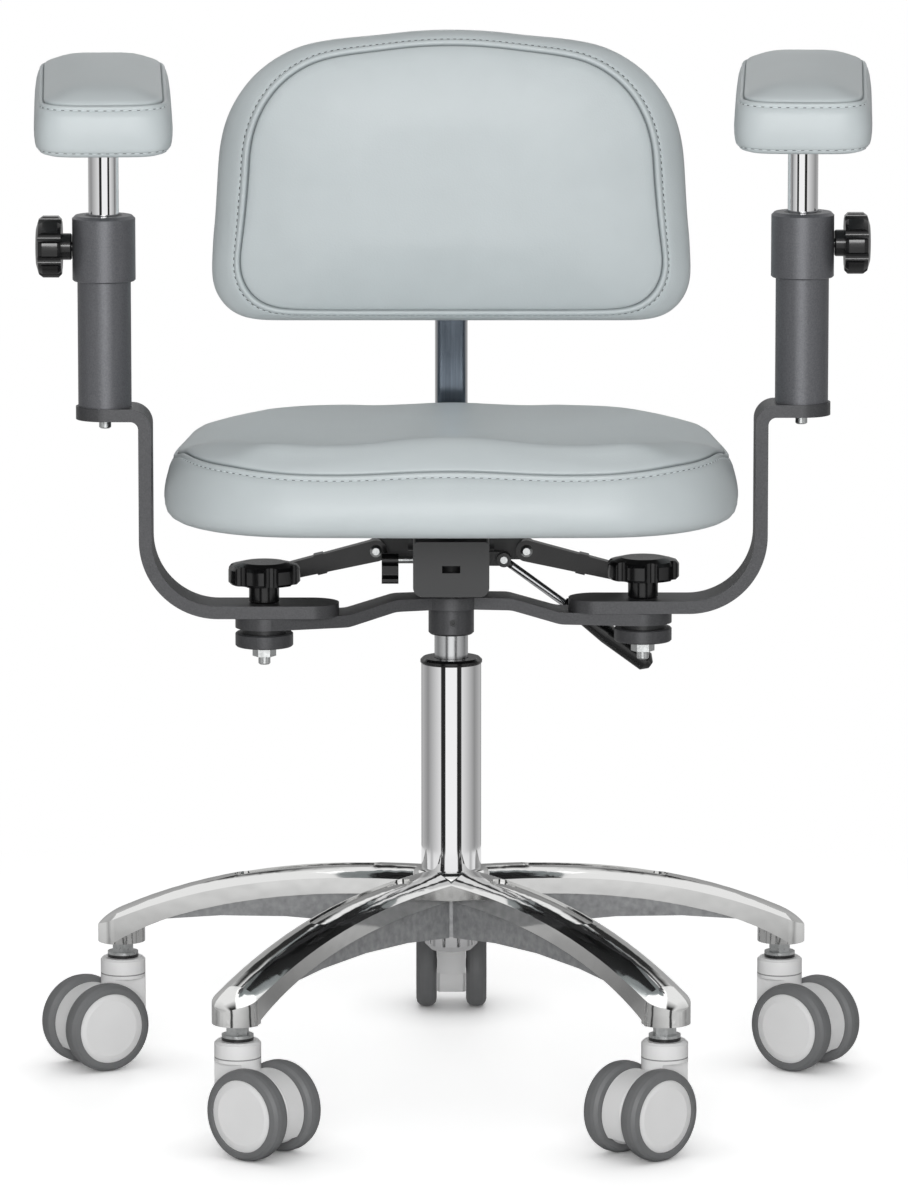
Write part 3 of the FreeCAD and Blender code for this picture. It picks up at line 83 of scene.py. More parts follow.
# Each dark band starts, is full, fades and is gone at these shares of the way across or up.
bands = []
for toward, (rise, full, fade, gone) in ((across, (0.30, 0.36, 0.58, 0.72)),
                                         (aim.outputs["Z"], (0.38, 0.46, 0.68, 0.80)),
                                         (across, (0.04, 0.09, 0.28, 0.36))):
    begin = add(tree, "ShaderNodeMapRange", {"Value": toward, "From Min": rise, "From Max": full},
                interpolation_type="SMOOTHSTEP")
    end = add(tree, "ShaderNodeMapRange", {"Value": toward, "From Min": fade, "From Max": gone},
              interpolation_type="SMOOTHSTEP")
    band = add(tree, "ShaderNodeMath", {0: begin.outputs[0], 1: end.outputs[0]}, operation="SUBTRACT")
    bands.append(band.outputs[0])
gaps, ceiling, strips = bands
near = add(tree, "ShaderNodeMapRange", {"Value": aim.outputs["Y"], "From Min": 0.1, "From Max": -0.2})
gaps = add(tree, "ShaderNodeMath", {0: gaps, 1: near.outputs[0]}, operation="MULTIPLY")
behind = add(tree, "ShaderNodeMapRange", {"Value": aim.outputs["Y"], "From Min": 0.0, "From Max": 0.1})
strips = add(tree, "ShaderNodeMath", {0: strips, 1: behind.outputs[0]}, operation="MULTIPLY")
strips = add(tree, "ShaderNodeMath", {0: ceiling, 1: strips.outputs[0]}, operation="MULTIPLY")
dark = add(tree, "ShaderNodeMath", {0: gaps.outputs[0], 1: strips.outputs[0]}, operation="MAXIMUM")
side = add(tree, "ShaderNodeMapRange", {"Value": across, "From Min": 0.6, "From Max": 0.95,
                                        "To Min": mirror_white, "To Max": mirror_sides})
mirrored = add(tree, "ShaderNodeMapRange", {"Value": dark.outputs[0], "To Min": side.outputs[0],
                                            "To Max": mirror_dark})
white = add(tree, "ShaderNodeMath", {0: rays.outputs["Is Camera Ray"],
                                     1: rays.outputs["Is Transmission Ray"]}, operation="MAXIMUM")
flagged = add(tree, "ShaderNodeMapRange", {"Value": across, "From Min": 0.35, "From Max": 0.9,
                                           "To Min": room_light, "To Max": room_light * flag_light})
strength = add(tree, "ShaderNodeMapRange", {"Value": rays.outputs["Is Glossy Ray"],
                                            "To Min": flagged.outputs[0], "To Max": mirrored.outputs[0]})
strength = add(tree, "ShaderNodeMapRange", {"Value": white.outputs[0], "To Min": strength.outputs[0],
                                            "To Max": 1.0})
glow = add(tree, "ShaderNodeBackground", {"Color": (1, 1, 1, 1), "Strength": strength.outputs[0]})
add(tree, "ShaderNodeOutputWorld", {"Surface": glow.outputs[0]})

# The paper glows a little to the camera and to mirrors, so that it renders white. The glow stops close to
# what stands on it, which keeps the shadow of each wheel, and far off the paper fades into the room.
paper_lift = 0.6
contact_reach = 0.07
fade_from = 0.5
fade_to = 1.1
bpy.ops.mesh.primitive_plane_add(size=60)
floor = bpy.context.object
floor.name = "floor"
sweep = bpy.data.materials.new("white_paper_sweep")
sweep.use_nodes = True
tree = sweep.node_tree
tree.nodes.clear()
rays = add(tree, "ShaderNodeLightPath")
seen = add(tree, "ShaderNodeMath", {0: rays.outputs["Is Camera Ray"], 1: rays.outputs["Is Glossy Ray"]},
           operation="MAXIMUM")
lift = add(tree, "ShaderNodeMath", {0: seen.outputs[0], 1: paper_lift}, operation="MULTIPLY")
open_sky = add(tree, "ShaderNodeAmbientOcclusion", {"Distance": contact_reach}, samples=8)
lift = add(tree, "ShaderNodeMath", {0: lift.outputs[0], 1: open_sky.outputs["AO"]}, operation="MULTIPLY")
paper = add(tree, "ShaderNodeBsdfDiffuse", {"Color": linear("#F6F6F6")})
white = add(tree, "ShaderNodeEmission", {"Color": (1, 1, 1, 1), "Strength": lift.outputs[0]})
both = add(tree, "ShaderNodeAddShader", {0: paper.outputs[0], 1: white.outputs[0]})
spot = add(tree, "ShaderNodeTexCoord").outputs["Object"]
away = add(tree, "ShaderNodeVectorMath", {0: spot}, operation="LENGTH")
far = add(tree, "ShaderNodeMapRange", {"Value": away.outputs["Value"], "From Min": fade_from,
                                       "From Max": fade_to}, interpolation_type="SMOOTHSTEP")
far = add(tree, "ShaderNodeMath", {0: far.outputs[0], 1: seen.outputs[0]}, operation="MULTIPLY")
plain = add(tree, "ShaderNodeEmission", {"Color": (1, 1, 1, 1), "Strength": 1.0})
faded = add(tree, "ShaderNodeMixShader", {0: far.outputs[0], 1: both.outputs[0], 2: plain.outputs[0]})
add(tree, "ShaderNodeOutputMaterial", {"Surface": faded.outputs[0]})
floor.data.materials.append(sweep)

# Reflection cards: a ring of them round the chair and a paper disc on the floor, which only mirror rays meet.
# Upright chrome shows the ring as a white middle, two black lines and grey sides; the disc lights the lips
# of the legs. The levels go by the angle from the camera's side, in degrees.
wall_radius = 1.4
wall_height = 0.9
disc_radius = 1.05
bpy.ops.mesh.primitive_cylinder_add(vertices=64, radius=wall_radius, depth=wall_height,
                                    end_fill_type="NOTHING", location=(0, 0, wall_height / 2))
wall = bpy.context.object
wall.name = "reflection_wall"
bpy.ops.mesh.primitive_circle_add(vertices=64, radius=wall_radius, fill_type="NGON",
                                  location=(0, 0, 0.001))
outskirts = bpy.context.object
outskirts.name = "reflection_outskirts"
bpy.ops.mesh.primitive_circle_add(vertices=64, radius=disc_radius, fill_type="NGON",
                                  location=(0, 0, 0.002))
underfoot = bpy.context.object
underfoot.name = "reflection_ground"
wall_levels = ((0, 1.0), (21, 1.0), (23, 0.02), (38, 0.03), (41, 0.8), (62, 0.62),
               (100, 0.3), (140, 0.5), (180, 0.25))
ground_levels = ((0, 0.95), (24, 0.95), (26, 0.08), (31, 0.08), (33, 0.9), (70, 0.85),
                 (80, 0.5), (92, 0.85), (180, 0.8))
for card, levels in ((wall, wall_levels), (outskirts, wall_levels), (underfoot, ground_levels)):
    cards = bpy.data.materials.new(card.name)
    cards.use_nodes = True
    tree = cards.node_tree
    tree.nodes.clear()
    place = add(tree, "ShaderNodeTexCoord").outputs["Object"]
    spot = add(tree, "ShaderNodeSeparateXYZ", {0: place})
    forward = add(tree, "ShaderNodeMath", {0: spot.outputs["Y"], 1: -1.0}, operation="MULTIPLY")
    turn = add(tree, "ShaderNodeMath", {0: spot.outputs["X"], 1: forward.outputs[0]}, operation="ARCTAN2")
    turn = add(tree, "ShaderNodeMath", {0: turn.outputs[0]}, operation="ABSOLUTE")
    turn = add(tree, "ShaderNodeMath", {0: turn.outputs[0], 1: math.pi}, operation="DIVIDE")
    ramp = add(tree, "ShaderNodeValToRGB", {0: turn.outputs[0]})
    for i, (angle, level) in enumerate(levels):
        stop = ramp.color_ramp.elements[i] if i < 2 else ramp.color_ramp.elements.new(1.0)
        stop.position = angle / 180
        stop.color = (level, level, level, 1)
    spread = add(tree, "ShaderNodeVectorMath", {0: place}, operation="LENGTH")
    fade = add(tree, "ShaderNodeMapRange", {"Value": spread.outputs["Value"], "From Min": 0.6,
                                            "From Max": 0.98, "To Min": 0.4, "To Max": 1.0})
    glow = add(tree, "ShaderNodeEmission", {"Color": ramp.outputs[0], "Strength": fade.outputs[0]})
    add(tree, "ShaderNodeOutputMaterial", {"Surface": glow.outputs[0]})
    card.data.materials.append(cards)
    card.visible_camera = card.visible_diffuse = card.visible_shadow = card.visible_transmission = False

# Lamps: two large soft boxes beside the camera, a weak one overhead, and one behind that lights the rear.
# All are aimed at the middle of the chair, and the one behind stays out of the chrome.
soft_box_power = 130.0
top_box_power = 9.0
rear_box_power = 90.0
target = Vector((0, 0, 0.55))
for name, spot, size, power in (("left_box", (-0.9, -6.4, 1.9), 2.2, soft_box_power),
                                ("right_box", (0.9, -6.4, 1.9), 2.2, soft_box_power),
                                ("top_box", (0, 0.2, 3.4), 2.6, top_box_power),
                                ("rear_box", (0, 5.4, 1.9), 2.2, rear_box_power)):
    bpy.ops.object.light_add(type="AREA", location=spot)
    lamp = bpy.context.object
    lamp.name = name
    lamp.data.size = size
    lamp.data.energy = power
    lamp.visible_camera = False
    lamp.visible_glossy = name != "rear_box"
    lamp.rotation_euler = (target - lamp.location).to_track_quat("-Z", "Y").to_euler()

# Camera: a long lens far in front of the chair, which looks down on it at the photograph's angle.
# It is aimed between the seat and the hub, so that the whole chair stands in the upright frame.
viewpoint = Vector((0.0023, -6.3, 1.434))
looked_at = Vector((0.0023, 0, 0.414))
bpy.ops.object.camera_add(location=viewpoint)
camera = bpy.context.object
camera.rotation_euler = (looked_at - camera.location).to_track_quat("-Z", "Y").to_euler()
camera.data.lens = 229.75
camera.data.sensor_width = 36.0
camera.data.clip_end = 100.0
scene.camera = camera
bpy.ops.object.select_all(action="DESELECT")

# Star base: one hollow casting of five legs, polished above and left as cast on the skirts below the lip.
# Polishing leaves long, faint waves in the mirror; the cast skin is grey, mottled and dull.


def finish(name, colour, metallic, roughness):
    """A material with one principled shader; returns it, its tree, its shader and its object coordinates."""
    material = bpy.data.materials.new(name)
    material.use_nodes = True
    tree = material.node_tree
    shader = tree.nodes["Principled BSDF"]
    shader.inputs["Base Color"].default_value = linear(colour)
    shader.inputs["Metallic"].default_value = metallic
    shader.inputs["Roughness"].default_value = roughness
    place = add(tree, "ShaderNodeTexCoord").outputs["Object"]
    return material, tree, shader, place


def coat(material, *names):
    """Gives CAD nodes this finish in every one of their slots."""
    for name in names:
        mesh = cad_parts[name].data
        for i in range(max(len(mesh.materials), 1)):
            if i < len(mesh.materials):
                mesh.materials[i] = material
            else:
                mesh.materials.append(material)


bright = "#E8E8E7"
hub_top = 0.188
leg_drop = 0.052
leg_bend = 2.6
stem_circle = 0.294
lip_depth = 0.0232
skirt_end = 0.26
polished, tree, shader, place = finish("polished_cast_aluminium", bright, 1.0, 0.08)
waves = add(tree, "ShaderNodeTexNoise", {"Vector": place, "Scale": 1 / 0.035, "Detail": 2.0})
grain = add(tree, "ShaderNodeTexNoise", {"Vector": place, "Scale": 1 / 0.006, "Detail": 6.0})
flat = add(tree, "ShaderNodeVectorMath", {0: place, 1: (1, 1, 0)}, operation="MULTIPLY")
reach = add(tree, "ShaderNodeVectorMath", {0: flat.outputs[0]}, operation="LENGTH").outputs["Value"]
share = add(tree, "ShaderNodeMath", {0: reach, 1: stem_circle}, operation="DIVIDE")
fall = add(tree, "ShaderNodeMath", {0: share.outputs[0], 1: leg_bend}, operation="POWER")
lip_low = add(tree, "ShaderNodeMath", {0: fall.outputs[0], 1: -leg_drop, 2: hub_top - lip_depth},
              operation="MULTIPLY_ADD")
height = add(tree, "ShaderNodeSeparateXYZ", {0: place})
below = add(tree, "ShaderNodeMath", {0: lip_low.outputs[0], 1: height.outputs["Z"]}, operation="SUBTRACT")
cast = add(tree, "ShaderNodeMapRange", {"Value": below.outputs[0], "From Min": 0.0, "From Max": 0.0006})
inboard = add(tree, "ShaderNodeMapRange", {"Value": reach, "From Min": skirt_end,
                                           "From Max": skirt_end - 0.004})
cast = add(tree, "ShaderNodeMath", {0: cast.outputs[0], 1: inboard.outputs[0]}, operation="MULTIPLY")
tone = add(tree, "ShaderNodeMix", {"Factor": grain.outputs["Fac"], 6: linear("#6C6D6F"),
                                   7: linear("#B0B1B2")}, data_type="RGBA")
tone = add(tree, "ShaderNodeMix", {"Factor": cast.outputs[0], 6: linear(bright), 7: tone.outputs[2]},
           data_type="RGBA")
tree.links.new(tone.outputs[2], shader.inputs["Base Color"])
metal = add(tree, "ShaderNodeMapRange", {"Value": cast.outputs[0], "To Min": 1.0, "To Max": 0.35})
tree.links.new(metal.outputs[0], shader.inputs["Metallic"])
shine = add(tree, "ShaderNodeMapRange", {"Value": waves.outputs["Fac"], "To Min": 0.03, "To Max": 0.13})
rough = add(tree, "ShaderNodeMapRange", {"Value": cast.outputs[0], "To Min": shine.outputs[0], "To Max": 0.5})
tree.links.new(rough.outputs[0], shader.inputs["Roughness"])
relief = add(tree, "ShaderNodeMix", {"Factor": cast.outputs[0], 2: waves.outputs["Fac"],
                                     3: grain.outputs["Fac"]})
bump = add(tree, "ShaderNodeBump", {"Height": relief.outputs[0], "Strength": 0.06, "Distance": 0.004})
tree.links.new(bump.outputs[0], shader.inputs["Normal"])
coat(polished, "star_base")

# Caster stems: turned steel with a hexagon, pressed into the legs; a black washer sits on each housing.
# Zinc plating gives a cool grey with a soft, slightly mottled shine. The screws and pins have it too.
washer_top = 0.0948
zinc, tree, shader, place = finish("zinc_plated_steel", "#C6C8C8", 1.0, 0.3)
spangle = add(tree, "ShaderNodeTexNoise", {"Vector": place, "Scale": 1 / 0.003, "Detail": 3.0})
tone = add(tree, "ShaderNodeMix", {"Factor": spangle.outputs["Fac"], 6: linear("#A9ABAB"),
                                   7: linear("#DADCDC")}, data_type="RGBA")
height = add(tree, "ShaderNodeSeparateXYZ", {0: place})
washer = add(tree, "ShaderNodeMapRange", {"Value": height.outputs["Z"], "From Min": washer_top + 0.0002,
                                          "From Max": washer_top - 0.0002})
tone = add(tree, "ShaderNodeMix", {"Factor": washer.outputs[0], 6: tone.outputs[2], 7: linear("#1C1C1D")},
           data_type="RGBA")
tree.links.new(tone.outputs[2], shader.inputs["Base Color"])
metal = add(tree, "ShaderNodeMapRange", {"Value": washer.outputs[0], "To Min": 1.0, "To Max": 0.0})
tree.links.new(metal.outputs[0], shader.inputs["Metallic"])
rough = add(tree, "ShaderNodeMapRange", {"Value": spangle.outputs["Fac"], "To Min": 0.2, "To Max": 0.42})
tree.links.new(rough.outputs[0], shader.inputs["Roughness"])
coat(zinc, "caster_stems", "pivot_bolts", "mechanism_pins", "left_sleeve_bolt", "right_sleeve_bolt",
     "thrust_bearing")

# Caster housings and wheel cores: moulded nylon, pale grey and a little dull from the eroded mould.
# A groove runs round each collar where the turning cap meets the hood. The texture is drawn at 1.2 mm,
# coarser than a mould gives, so that it shows.
groove_height = 0.0785
groove_half = 0.0005
nylon, tree, shader, place = finish("pale_grey_moulded_nylon", "#EAEAEA", 0.0, 0.42)
texture = add(tree, "ShaderNodeTexNoise", {"Vector": place, "Scale": 1 / 0.0012, "Detail": 2.0})
cloud = add(tree, "ShaderNodeTexNoise", {"Vector": place, "Scale": 1 / 0.03, "Detail": 1.0})
height = add(tree, "ShaderNodeSeparateXYZ", {0: place})
groove = add(tree, "ShaderNodeMath", {0: height.outputs["Z"], 1: groove_height, 2: groove_half},
             operation="COMPARE")
tone = add(tree, "ShaderNodeMix", {"Factor": cloud.outputs["Fac"], 6: linear("#E6E6E6"),
                                   7: linear("#EFEFEF")}, data_type="RGBA")
tone = add(tree, "ShaderNodeMix", {"Factor": groove.outputs[0], 6: tone.outputs[2], 7: linear("#8C8C8C")},
           data_type="RGBA")
tree.links.new(tone.outputs[2], shader.inputs["Base Color"])
bump = add(tree, "ShaderNodeBump", {"Height": texture.outputs["Fac"], "Strength": 0.12, "Distance": 0.0003})
tree.links.new(bump.outputs[0], shader.inputs["Normal"])
coat(nylon, *["caster_%d_%s" % (i, part) for i in range(1, 6) for part in ("housing", "wheels")])

# Tyres: rings of soft grey polyurethane, moulded round each wheel core so that the wheels roll quietly.
# They are matt, with a faint cloudy bloom from the mould.
tread, tree, shader, place = finish("grey_soft_tread", "#6E6F70", 0.0, 0.55)
bloom = add(tree, "ShaderNodeTexNoise", {"Vector": place, "Scale": 1 / 0.012, "Detail": 3.0})
tone = add(tree, "ShaderNodeMix", {"Factor": bloom.outputs["Fac"], 6: linear("#68696A"),
                                   7: linear("#757677")}, data_type="RGBA")
tree.links.new(tone.outputs[2], shader.inputs["Base Color"])
coat(tread, *["caster_%d_tyres" % i for i in range(1, 6)])

# Column: a drawn steel tube pressed into the hub, with a foot cup below it; the arm posts are like it.
# Bright chrome is a clear mirror, and only faint wipe marks soften it.
chrome, tree, shader, place = finish("bright_chrome", "#EFEFF0", 1.0, 0.04)
wipe = add(tree, "ShaderNodeTexNoise", {"Vector": place, "Scale": 1 / 0.025, "Detail": 3.0})
shine = add(tree, "ShaderNodeMapRange", {"Value": wipe.outputs["Fac"], "To Min": 0.015, "To Max": 0.075})
tree.links.new(shine.outputs[0], shader.inputs["Roughness"])
coat(chrome, "column_tube", "column_foot", "left_arm_post", "right_arm_post")

# Gas spring: a steel cylinder that slides in the column's guide, and its piston rod inside the tube.
# Both are ground round, so the shine breaks into fine rings; these are drawn about 0.7 mm apart,
# coarser than real ones, so that they show.
steel, tree, shader, place = finish("ground_steel", "#C9CACB", 1.0, 0.22)
lines = add(tree, "ShaderNodeMapping", {"Vector": place, "Scale": (60, 60, 1500)})
grind = add(tree, "ShaderNodeTexNoise", {"Vector": lines.outputs[0], "Scale": 1.0, "Detail": 2.0})
rough = add(tree, "ShaderNodeMapRange", {"Value": grind.outputs["Fac"], "To Min": 0.16, "To Max": 0.3})
tree.links.new(rough.outputs[0], shader.inputs["Roughness"])
coat(steel, "gas_cylinder", "piston_rod")

# Mechanism: a pressed steel housing on the gas spring, with a screwed cover; the seat's plate is like it.
# Satin black paint covers them, with a faint orange-peel skin that softens the lights.
satin, tree, shader, place = finish("satin_black_paint", "#232425", 0.0, 0.42)
skin = add(tree, "ShaderNodeTexNoise", {"Vector": place, "Scale": 1 / 0.002, "Detail": 2.0})
bump = add(tree, "ShaderNodeBump", {"Height": skin.outputs["Fac"], "Strength": 0.1, "Distance": 0.0004})
tree.links.new(bump.outputs[0], shader.inputs["Normal"])
coat(satin, "mechanism_housing", "mechanism_cover", "friction_washers", "seat_plate", "back_bracket",
     "yoke_screw")

# Lift rod: round steel bar, bent over a former and hinged in the housing; it releases the gas spring.
# It is bright chrome, apart from its flattened eye at the hinge, which is in black paint.
rod_chrome = "#DCDDDF"
eye = (0.044, 0.026, 0.444)
eye_radius = 0.0095
rod, tree, shader, place = finish("chromed_rod", rod_chrome, 1.0, 0.05)
away = add(tree, "ShaderNodeVectorMath", {0: place, 1: eye}, operation="DISTANCE")
painted = add(tree, "ShaderNodeMapRange", {"Value": away.outputs["Value"], "From Min": eye_radius,
                                           "From Max": eye_radius - 0.0005})
tone = add(tree, "ShaderNodeMix", {"Factor": painted.outputs[0], 6: linear(rod_chrome), 7: linear("#1E1F20")},
           data_type="RGBA")
tree.links.new(tone.outputs[2], shader.inputs["Base Color"])
metal = add(tree, "ShaderNodeMapRange", {"Value": painted.outputs[0], "To Min": 1.0, "To Max": 0.0})
tree.links.new(metal.outputs[0], shader.inputs["Metallic"])
rough = add(tree, "ShaderNodeMapRange", {"Value": painted.outputs[0], "To Min": 0.05, "To Max": 0.4})
tree.links.new(rough.outputs[0], shader.inputs["Roughness"])
coat(rod, "lift_rod")

# Knobs, levers, grip, hook and the column's guide ring: black plastic, moulded on or pressed on.
# The polished mould leaves it deep black and glossy, with faint smears from hands.
gloss, tree, shader, place = finish("black_moulded_plastic", "#101011", 0.0, 0.16)
smear = add(tree, "ShaderNodeTexNoise", {"Vector": place, "Scale": 1 / 0.015, "Detail": 3.0})
rough = add(tree, "ShaderNodeMapRange", {"Value": smear.outputs["Fac"], "To Min": 0.1, "To Max": 0.24})
tree.links.new(rough.outputs[0], shader.inputs["Roughness"])
coat(gloss, "column_ring", "left_pivot_knob", "right_pivot_knob", "left_clamp_knob", "right_clamp_knob",
     "back_knob", "left_lever", "right_lever", "lift_grip", "tilt_hook")

# Back bar: flat steel bar, bent up behind the seat and hinged to the mechanism; the bracket slides on it.
# Its face is brushed lengthwise, streaked and dark grey, while the edges are bright chrome.
bar_face = 0.0115
bar, tree, shader, place = finish("brushed_dark_chrome", "#666D76", 1.0, 0.14)
side = add(tree, "ShaderNodeSeparateXYZ", {0: place})
side = add(tree, "ShaderNodeMath", {0: side.outputs["X"]}, operation="ABSOLUTE")
edge = add(tree, "ShaderNodeMapRange", {"Value": side.outputs[0], "From Min": bar_face,
                                        "From Max": bar_face + 0.0015})
lines = add(tree, "ShaderNodeMapping", {"Vector": place, "Scale": (1 / 0.0008, 1 / 0.0008, 1 / 0.05)})
brush = add(tree, "ShaderNodeTexNoise", {"Vector": lines.outputs[0], "Scale": 1.0, "Detail": 3.0})
tone = add(tree, "ShaderNodeMix", {"Factor": brush.outputs["Fac"], 6: linear("#454C55"),
                                   7: linear("#79818B")}, data_type="RGBA")
tone = add(tree, "ShaderNodeMix", {"Factor": edge.outputs[0], 6: tone.outputs[2], 7: linear("#E6E7E9")},
           data_type="RGBA")
tree.links.new(tone.outputs[2], shader.inputs["Base Color"])
rough = add(tree, "ShaderNodeMapRange", {"Value": brush.outputs["Fac"], "To Min": 0.08, "To Max": 0.22})
tree.links.new(rough.outputs[0], shader.inputs["Roughness"])
coat(bar, "back_bar")

# Yoke and arms: thick steel plate, bent, and clamped by a collar; the sleeves are bolted to the arm bars.
# Dark grey powder coat gives it a fine dry grit with a metallic glint; the sleeves' lighter copy is painted
# light.
# The grit is drawn at 1.2 mm, a little coarse, so that it shows.
for name, dark, pale, nodes in (
        ("textured_powder_coat", "#38393B", "#535355",
         ("yoke", "pivot_discs", "left_arm_bar", "right_arm_bar")),
        # The sleeves' copy of the coat is lighter only as painted light, for the lamps that fall on them.
        ("sleeve_powder_coat_painted_lighter", "#4E4F52", "#747579", ("left_arm_sleeve", "right_arm_sleeve"))):
    powder, tree, shader, place = finish(name, dark, 0.45, 0.42)
    grit = add(tree, "ShaderNodeTexNoise", {"Vector": place, "Scale": 1 / 0.0012, "Detail": 3.0})
    tone = add(tree, "ShaderNodeMix", {"Factor": grit.outputs["Fac"], 6: linear(dark), 7: linear(pale)},
               data_type="RGBA")
    tree.links.new(tone.outputs[2], shader.inputs["Base Color"])
    bump = add(tree, "ShaderNodeBump", {"Height": grit.outputs["Fac"], "Strength": 0.25, "Distance": 0.0004})
    tree.links.new(bump.outputs[0], shader.inputs["Normal"])
    coat(powder, *nodes)

# Shells: the seat's pan, the back's rear cover and the bushes of the pads, moulded and screwed on.
# The plastic is dark grey and dull, with a pebbled skin from the mould.
shell, tree, shader, place = finish("dark_moulded_shell", "#2A2B2D", 0.0, 0.5)
pebble = add(tree, "ShaderNodeTexVoronoi", {"Vector": place, "Scale": 1 / 0.0018})
bump = add(tree, "ShaderNodeBump", {"Height": pebble.outputs["Distance"], "Strength": 0.2,
                                    "Distance": 0.0004})
tree.links.new(bump.outputs[0], shader.inputs["Normal"])
coat(shell, "seat_shell", "back_shell", "left_clamp_bush", "right_clamp_bush")

# Seat cushion: one moulded foam saddle on the pan, with a hump between the thighs and a hollow for each.
# Its cover is a top panel sewn to a deep side band; the lip of the band is rolled over the seam and
# top-stitched. The back and the arm pads are sewn in the same way.

# Soft polyurethane leatherette: pale blue-grey with a low sheen and a pebbled grain, drawn at 1.6 mm so
# that it shows. Panels meet in a deep crease; painted shade darkens it and the stitch grooves by their depth.
leather, tree, shader, place = finish("pale_leatherette", "#C6CED0", 0.0, 0.46)
grain = add(tree, "ShaderNodeTexVoronoi", {"Vector": place, "Scale": 1 / 0.0016})
cloud = add(tree, "ShaderNodeTexNoise", {"Vector": place, "Scale": 1 / 0.045, "Detail": 2.0})
tone = add(tree, "ShaderNodeMix", {"Factor": cloud.outputs["Fac"], 6: linear("#C2CACC"),
                                   7: linear("#CAD2D4")}, data_type="RGBA")
# Painted shade: where the cover sinks into a crease or groove, its colour darkens toward #5C6568.
painted_crease_shade = add(tree, "ShaderNodeAttribute", attribute_name="painted_crease_shade")
tone = add(tree, "ShaderNodeMix", {"Factor": painted_crease_shade.outputs["Fac"], 6: tone.outputs[2], 7: linear("#5C6568")},
           data_type="RGBA")
tree.links.new(tone.outputs[2], shader.inputs["Base Color"])
rough = add(tree, "ShaderNodeMapRange", {"Value": cloud.outputs["Fac"], "To Min": 0.4, "To Max": 0.52})
tree.links.new(rough.outputs[0], shader.inputs["Roughness"])
bump = add(tree, "ShaderNodeBump", {"Height": grain.outputs["Distance"], "Strength": 0.1, "Distance": 0.0005})
tree.links.new(bump.outputs[0], shader.inputs["Normal"])

# Twisted polyester thread: a shade lighter than the cover. Each needle hole is a flat dark disc of painted
# shade.
thread, tree, shader, place = finish("twisted_polyester_thread", "#D3DADC", 0.0, 0.6)
twist = add(tree, "ShaderNodeTexNoise", {"Vector": place, "Scale": 1 / 0.0009, "Detail": 2.0})
bump = add(tree, "ShaderNodeBump", {"Height": twist.outputs["Fac"], "Strength": 0.4, "Distance": 0.0003})
tree.links.new(bump.outputs[0], shader.inputs["Normal"])
needle_hole_shade, tree, shader, place = finish("needle_hole_shadow", "#24292B", 0.0, 0.8)
speck = add(tree, "ShaderNodeTexNoise", {"Vector": place, "Scale": 1 / 0.002})
rough = add(tree, "ShaderNodeMapRange", {"Value": speck.outputs["Fac"], "To Min": 0.7, "To Max": 0.9})
tree.links.new(rough.outputs[0], shader.inputs["Roughness"])


def stations(solid, half, level, core, spacing):
    """Where a cushion is cut into sections, evenly spaced round its outline.

    Each is a point of its spine, an outward direction, the reach of the section's pivot and the rim."""
    corner = 0.1
    rays = 2000
    run = half.length
    along = half.normalized()
    across = Vector((-along.y, along.x, 0))
    straight = 2 * run
    turn = math.pi * corner
    starts = []
    for walk in np.linspace(0, 2 * (straight + turn), rays, endpoint=False):
        flip = 1 if walk < straight + turn else -1
        rest = walk % (straight + turn)
        if rest < straight:
            starts.append((along * (flip * (run - rest)), across * flip))
        else:
            angle = (rest - straight) / corner
            out = across * math.cos(angle) - along * math.sin(angle)
            starts.append((along * (-flip * run), out * flip))
    lift = Vector((0, 0, level))
    rim = [solid.ray_cast(centre + out + lift, -out)[0] for centre, out in starts]
    walked = [0.0]
    for here, there in zip(rim, rim[1:] + rim[:1]):
        walked.append(walked[-1] + (there - here).length)
    count = 2 * round(walked[-1] / spacing / 2)
    picked = []
    for value in np.interp(np.arange(count) * walked[-1] / count, walked, np.arange(len(walked))):
        here = starts[int(value)]
        there = starts[(int(value) + 1) % len(starts)]
        share = value - int(value)
        centre = here[0].lerp(there[0], share)
        out = here[1].lerp(there[1], share).normalized()
        rim = solid.ray_cast(centre + out + lift, -out)[0]
        picked.append((centre, out, (rim - centre).xy.length - core, rim))
    return picked


def sections(solid, picked, level):
    """Lines down a cushion at its stations, from near the middle of its top to its lower edge."""
    near_middle = 0.008
    top_points = 30
    side_points = 91
    lines = []
    up = Vector((0, 0, 1))
    for centre, out, inner, rim in picked:
        line = []
        for reach in np.linspace(near_middle, inner, top_points)[:-1]:
            line.append(solid.ray_cast(centre + out * reach + up, -up)[0])
        pivot = centre + out * inner + up * level
        for angle in np.linspace(math.pi / 2, -math.pi / 2, side_points):
            aim = out * math.cos(angle) + up * math.sin(angle)
            line.append(solid.ray_cast(pivot + aim, -aim)[0])
        lines.append([tuple(point) for point in line])
    return np.array(lines)


def walked_along(lines):
    """Distance walked down each section line."""
    steps = np.linalg.norm(np.diff(lines, axis=1), axis=2)
    return np.concatenate([np.zeros((len(lines), 1)), np.cumsum(steps, axis=1)], axis=1)


def evened(values, passes):
    """Values round a closed ring, smoothed."""
    for _ in range(passes):
        values = (np.roll(values, 1, axis=0) + 2 * values + np.roll(values, -1, axis=0)) / 4
    return values


def sewn_at(lines, picked, seam_height):
    """Place of the seam down each section line, as a count of its points, from the seam's height."""
    below_crest = 0.006
    found = []
    for line, (centre, out, inner, rim) in zip(lines, picked):
        height = min(seam_height(rim, out), line[:, 2].max() - below_crest)
        above = np.nonzero(line[:, 2] >= height)[0][-1]
        share = (line[above, 2] - height) / (line[above, 2] - line[above + 1, 2])
        found.append(above + share)
    return evened(np.array(found), passes=60)


def only(piece):
    """Makes a piece the one selected and active object."""
    bpy.ops.object.select_all(action="DESELECT")
    piece.select_set(True)
    bpy.context.view_layer.objects.active = piece


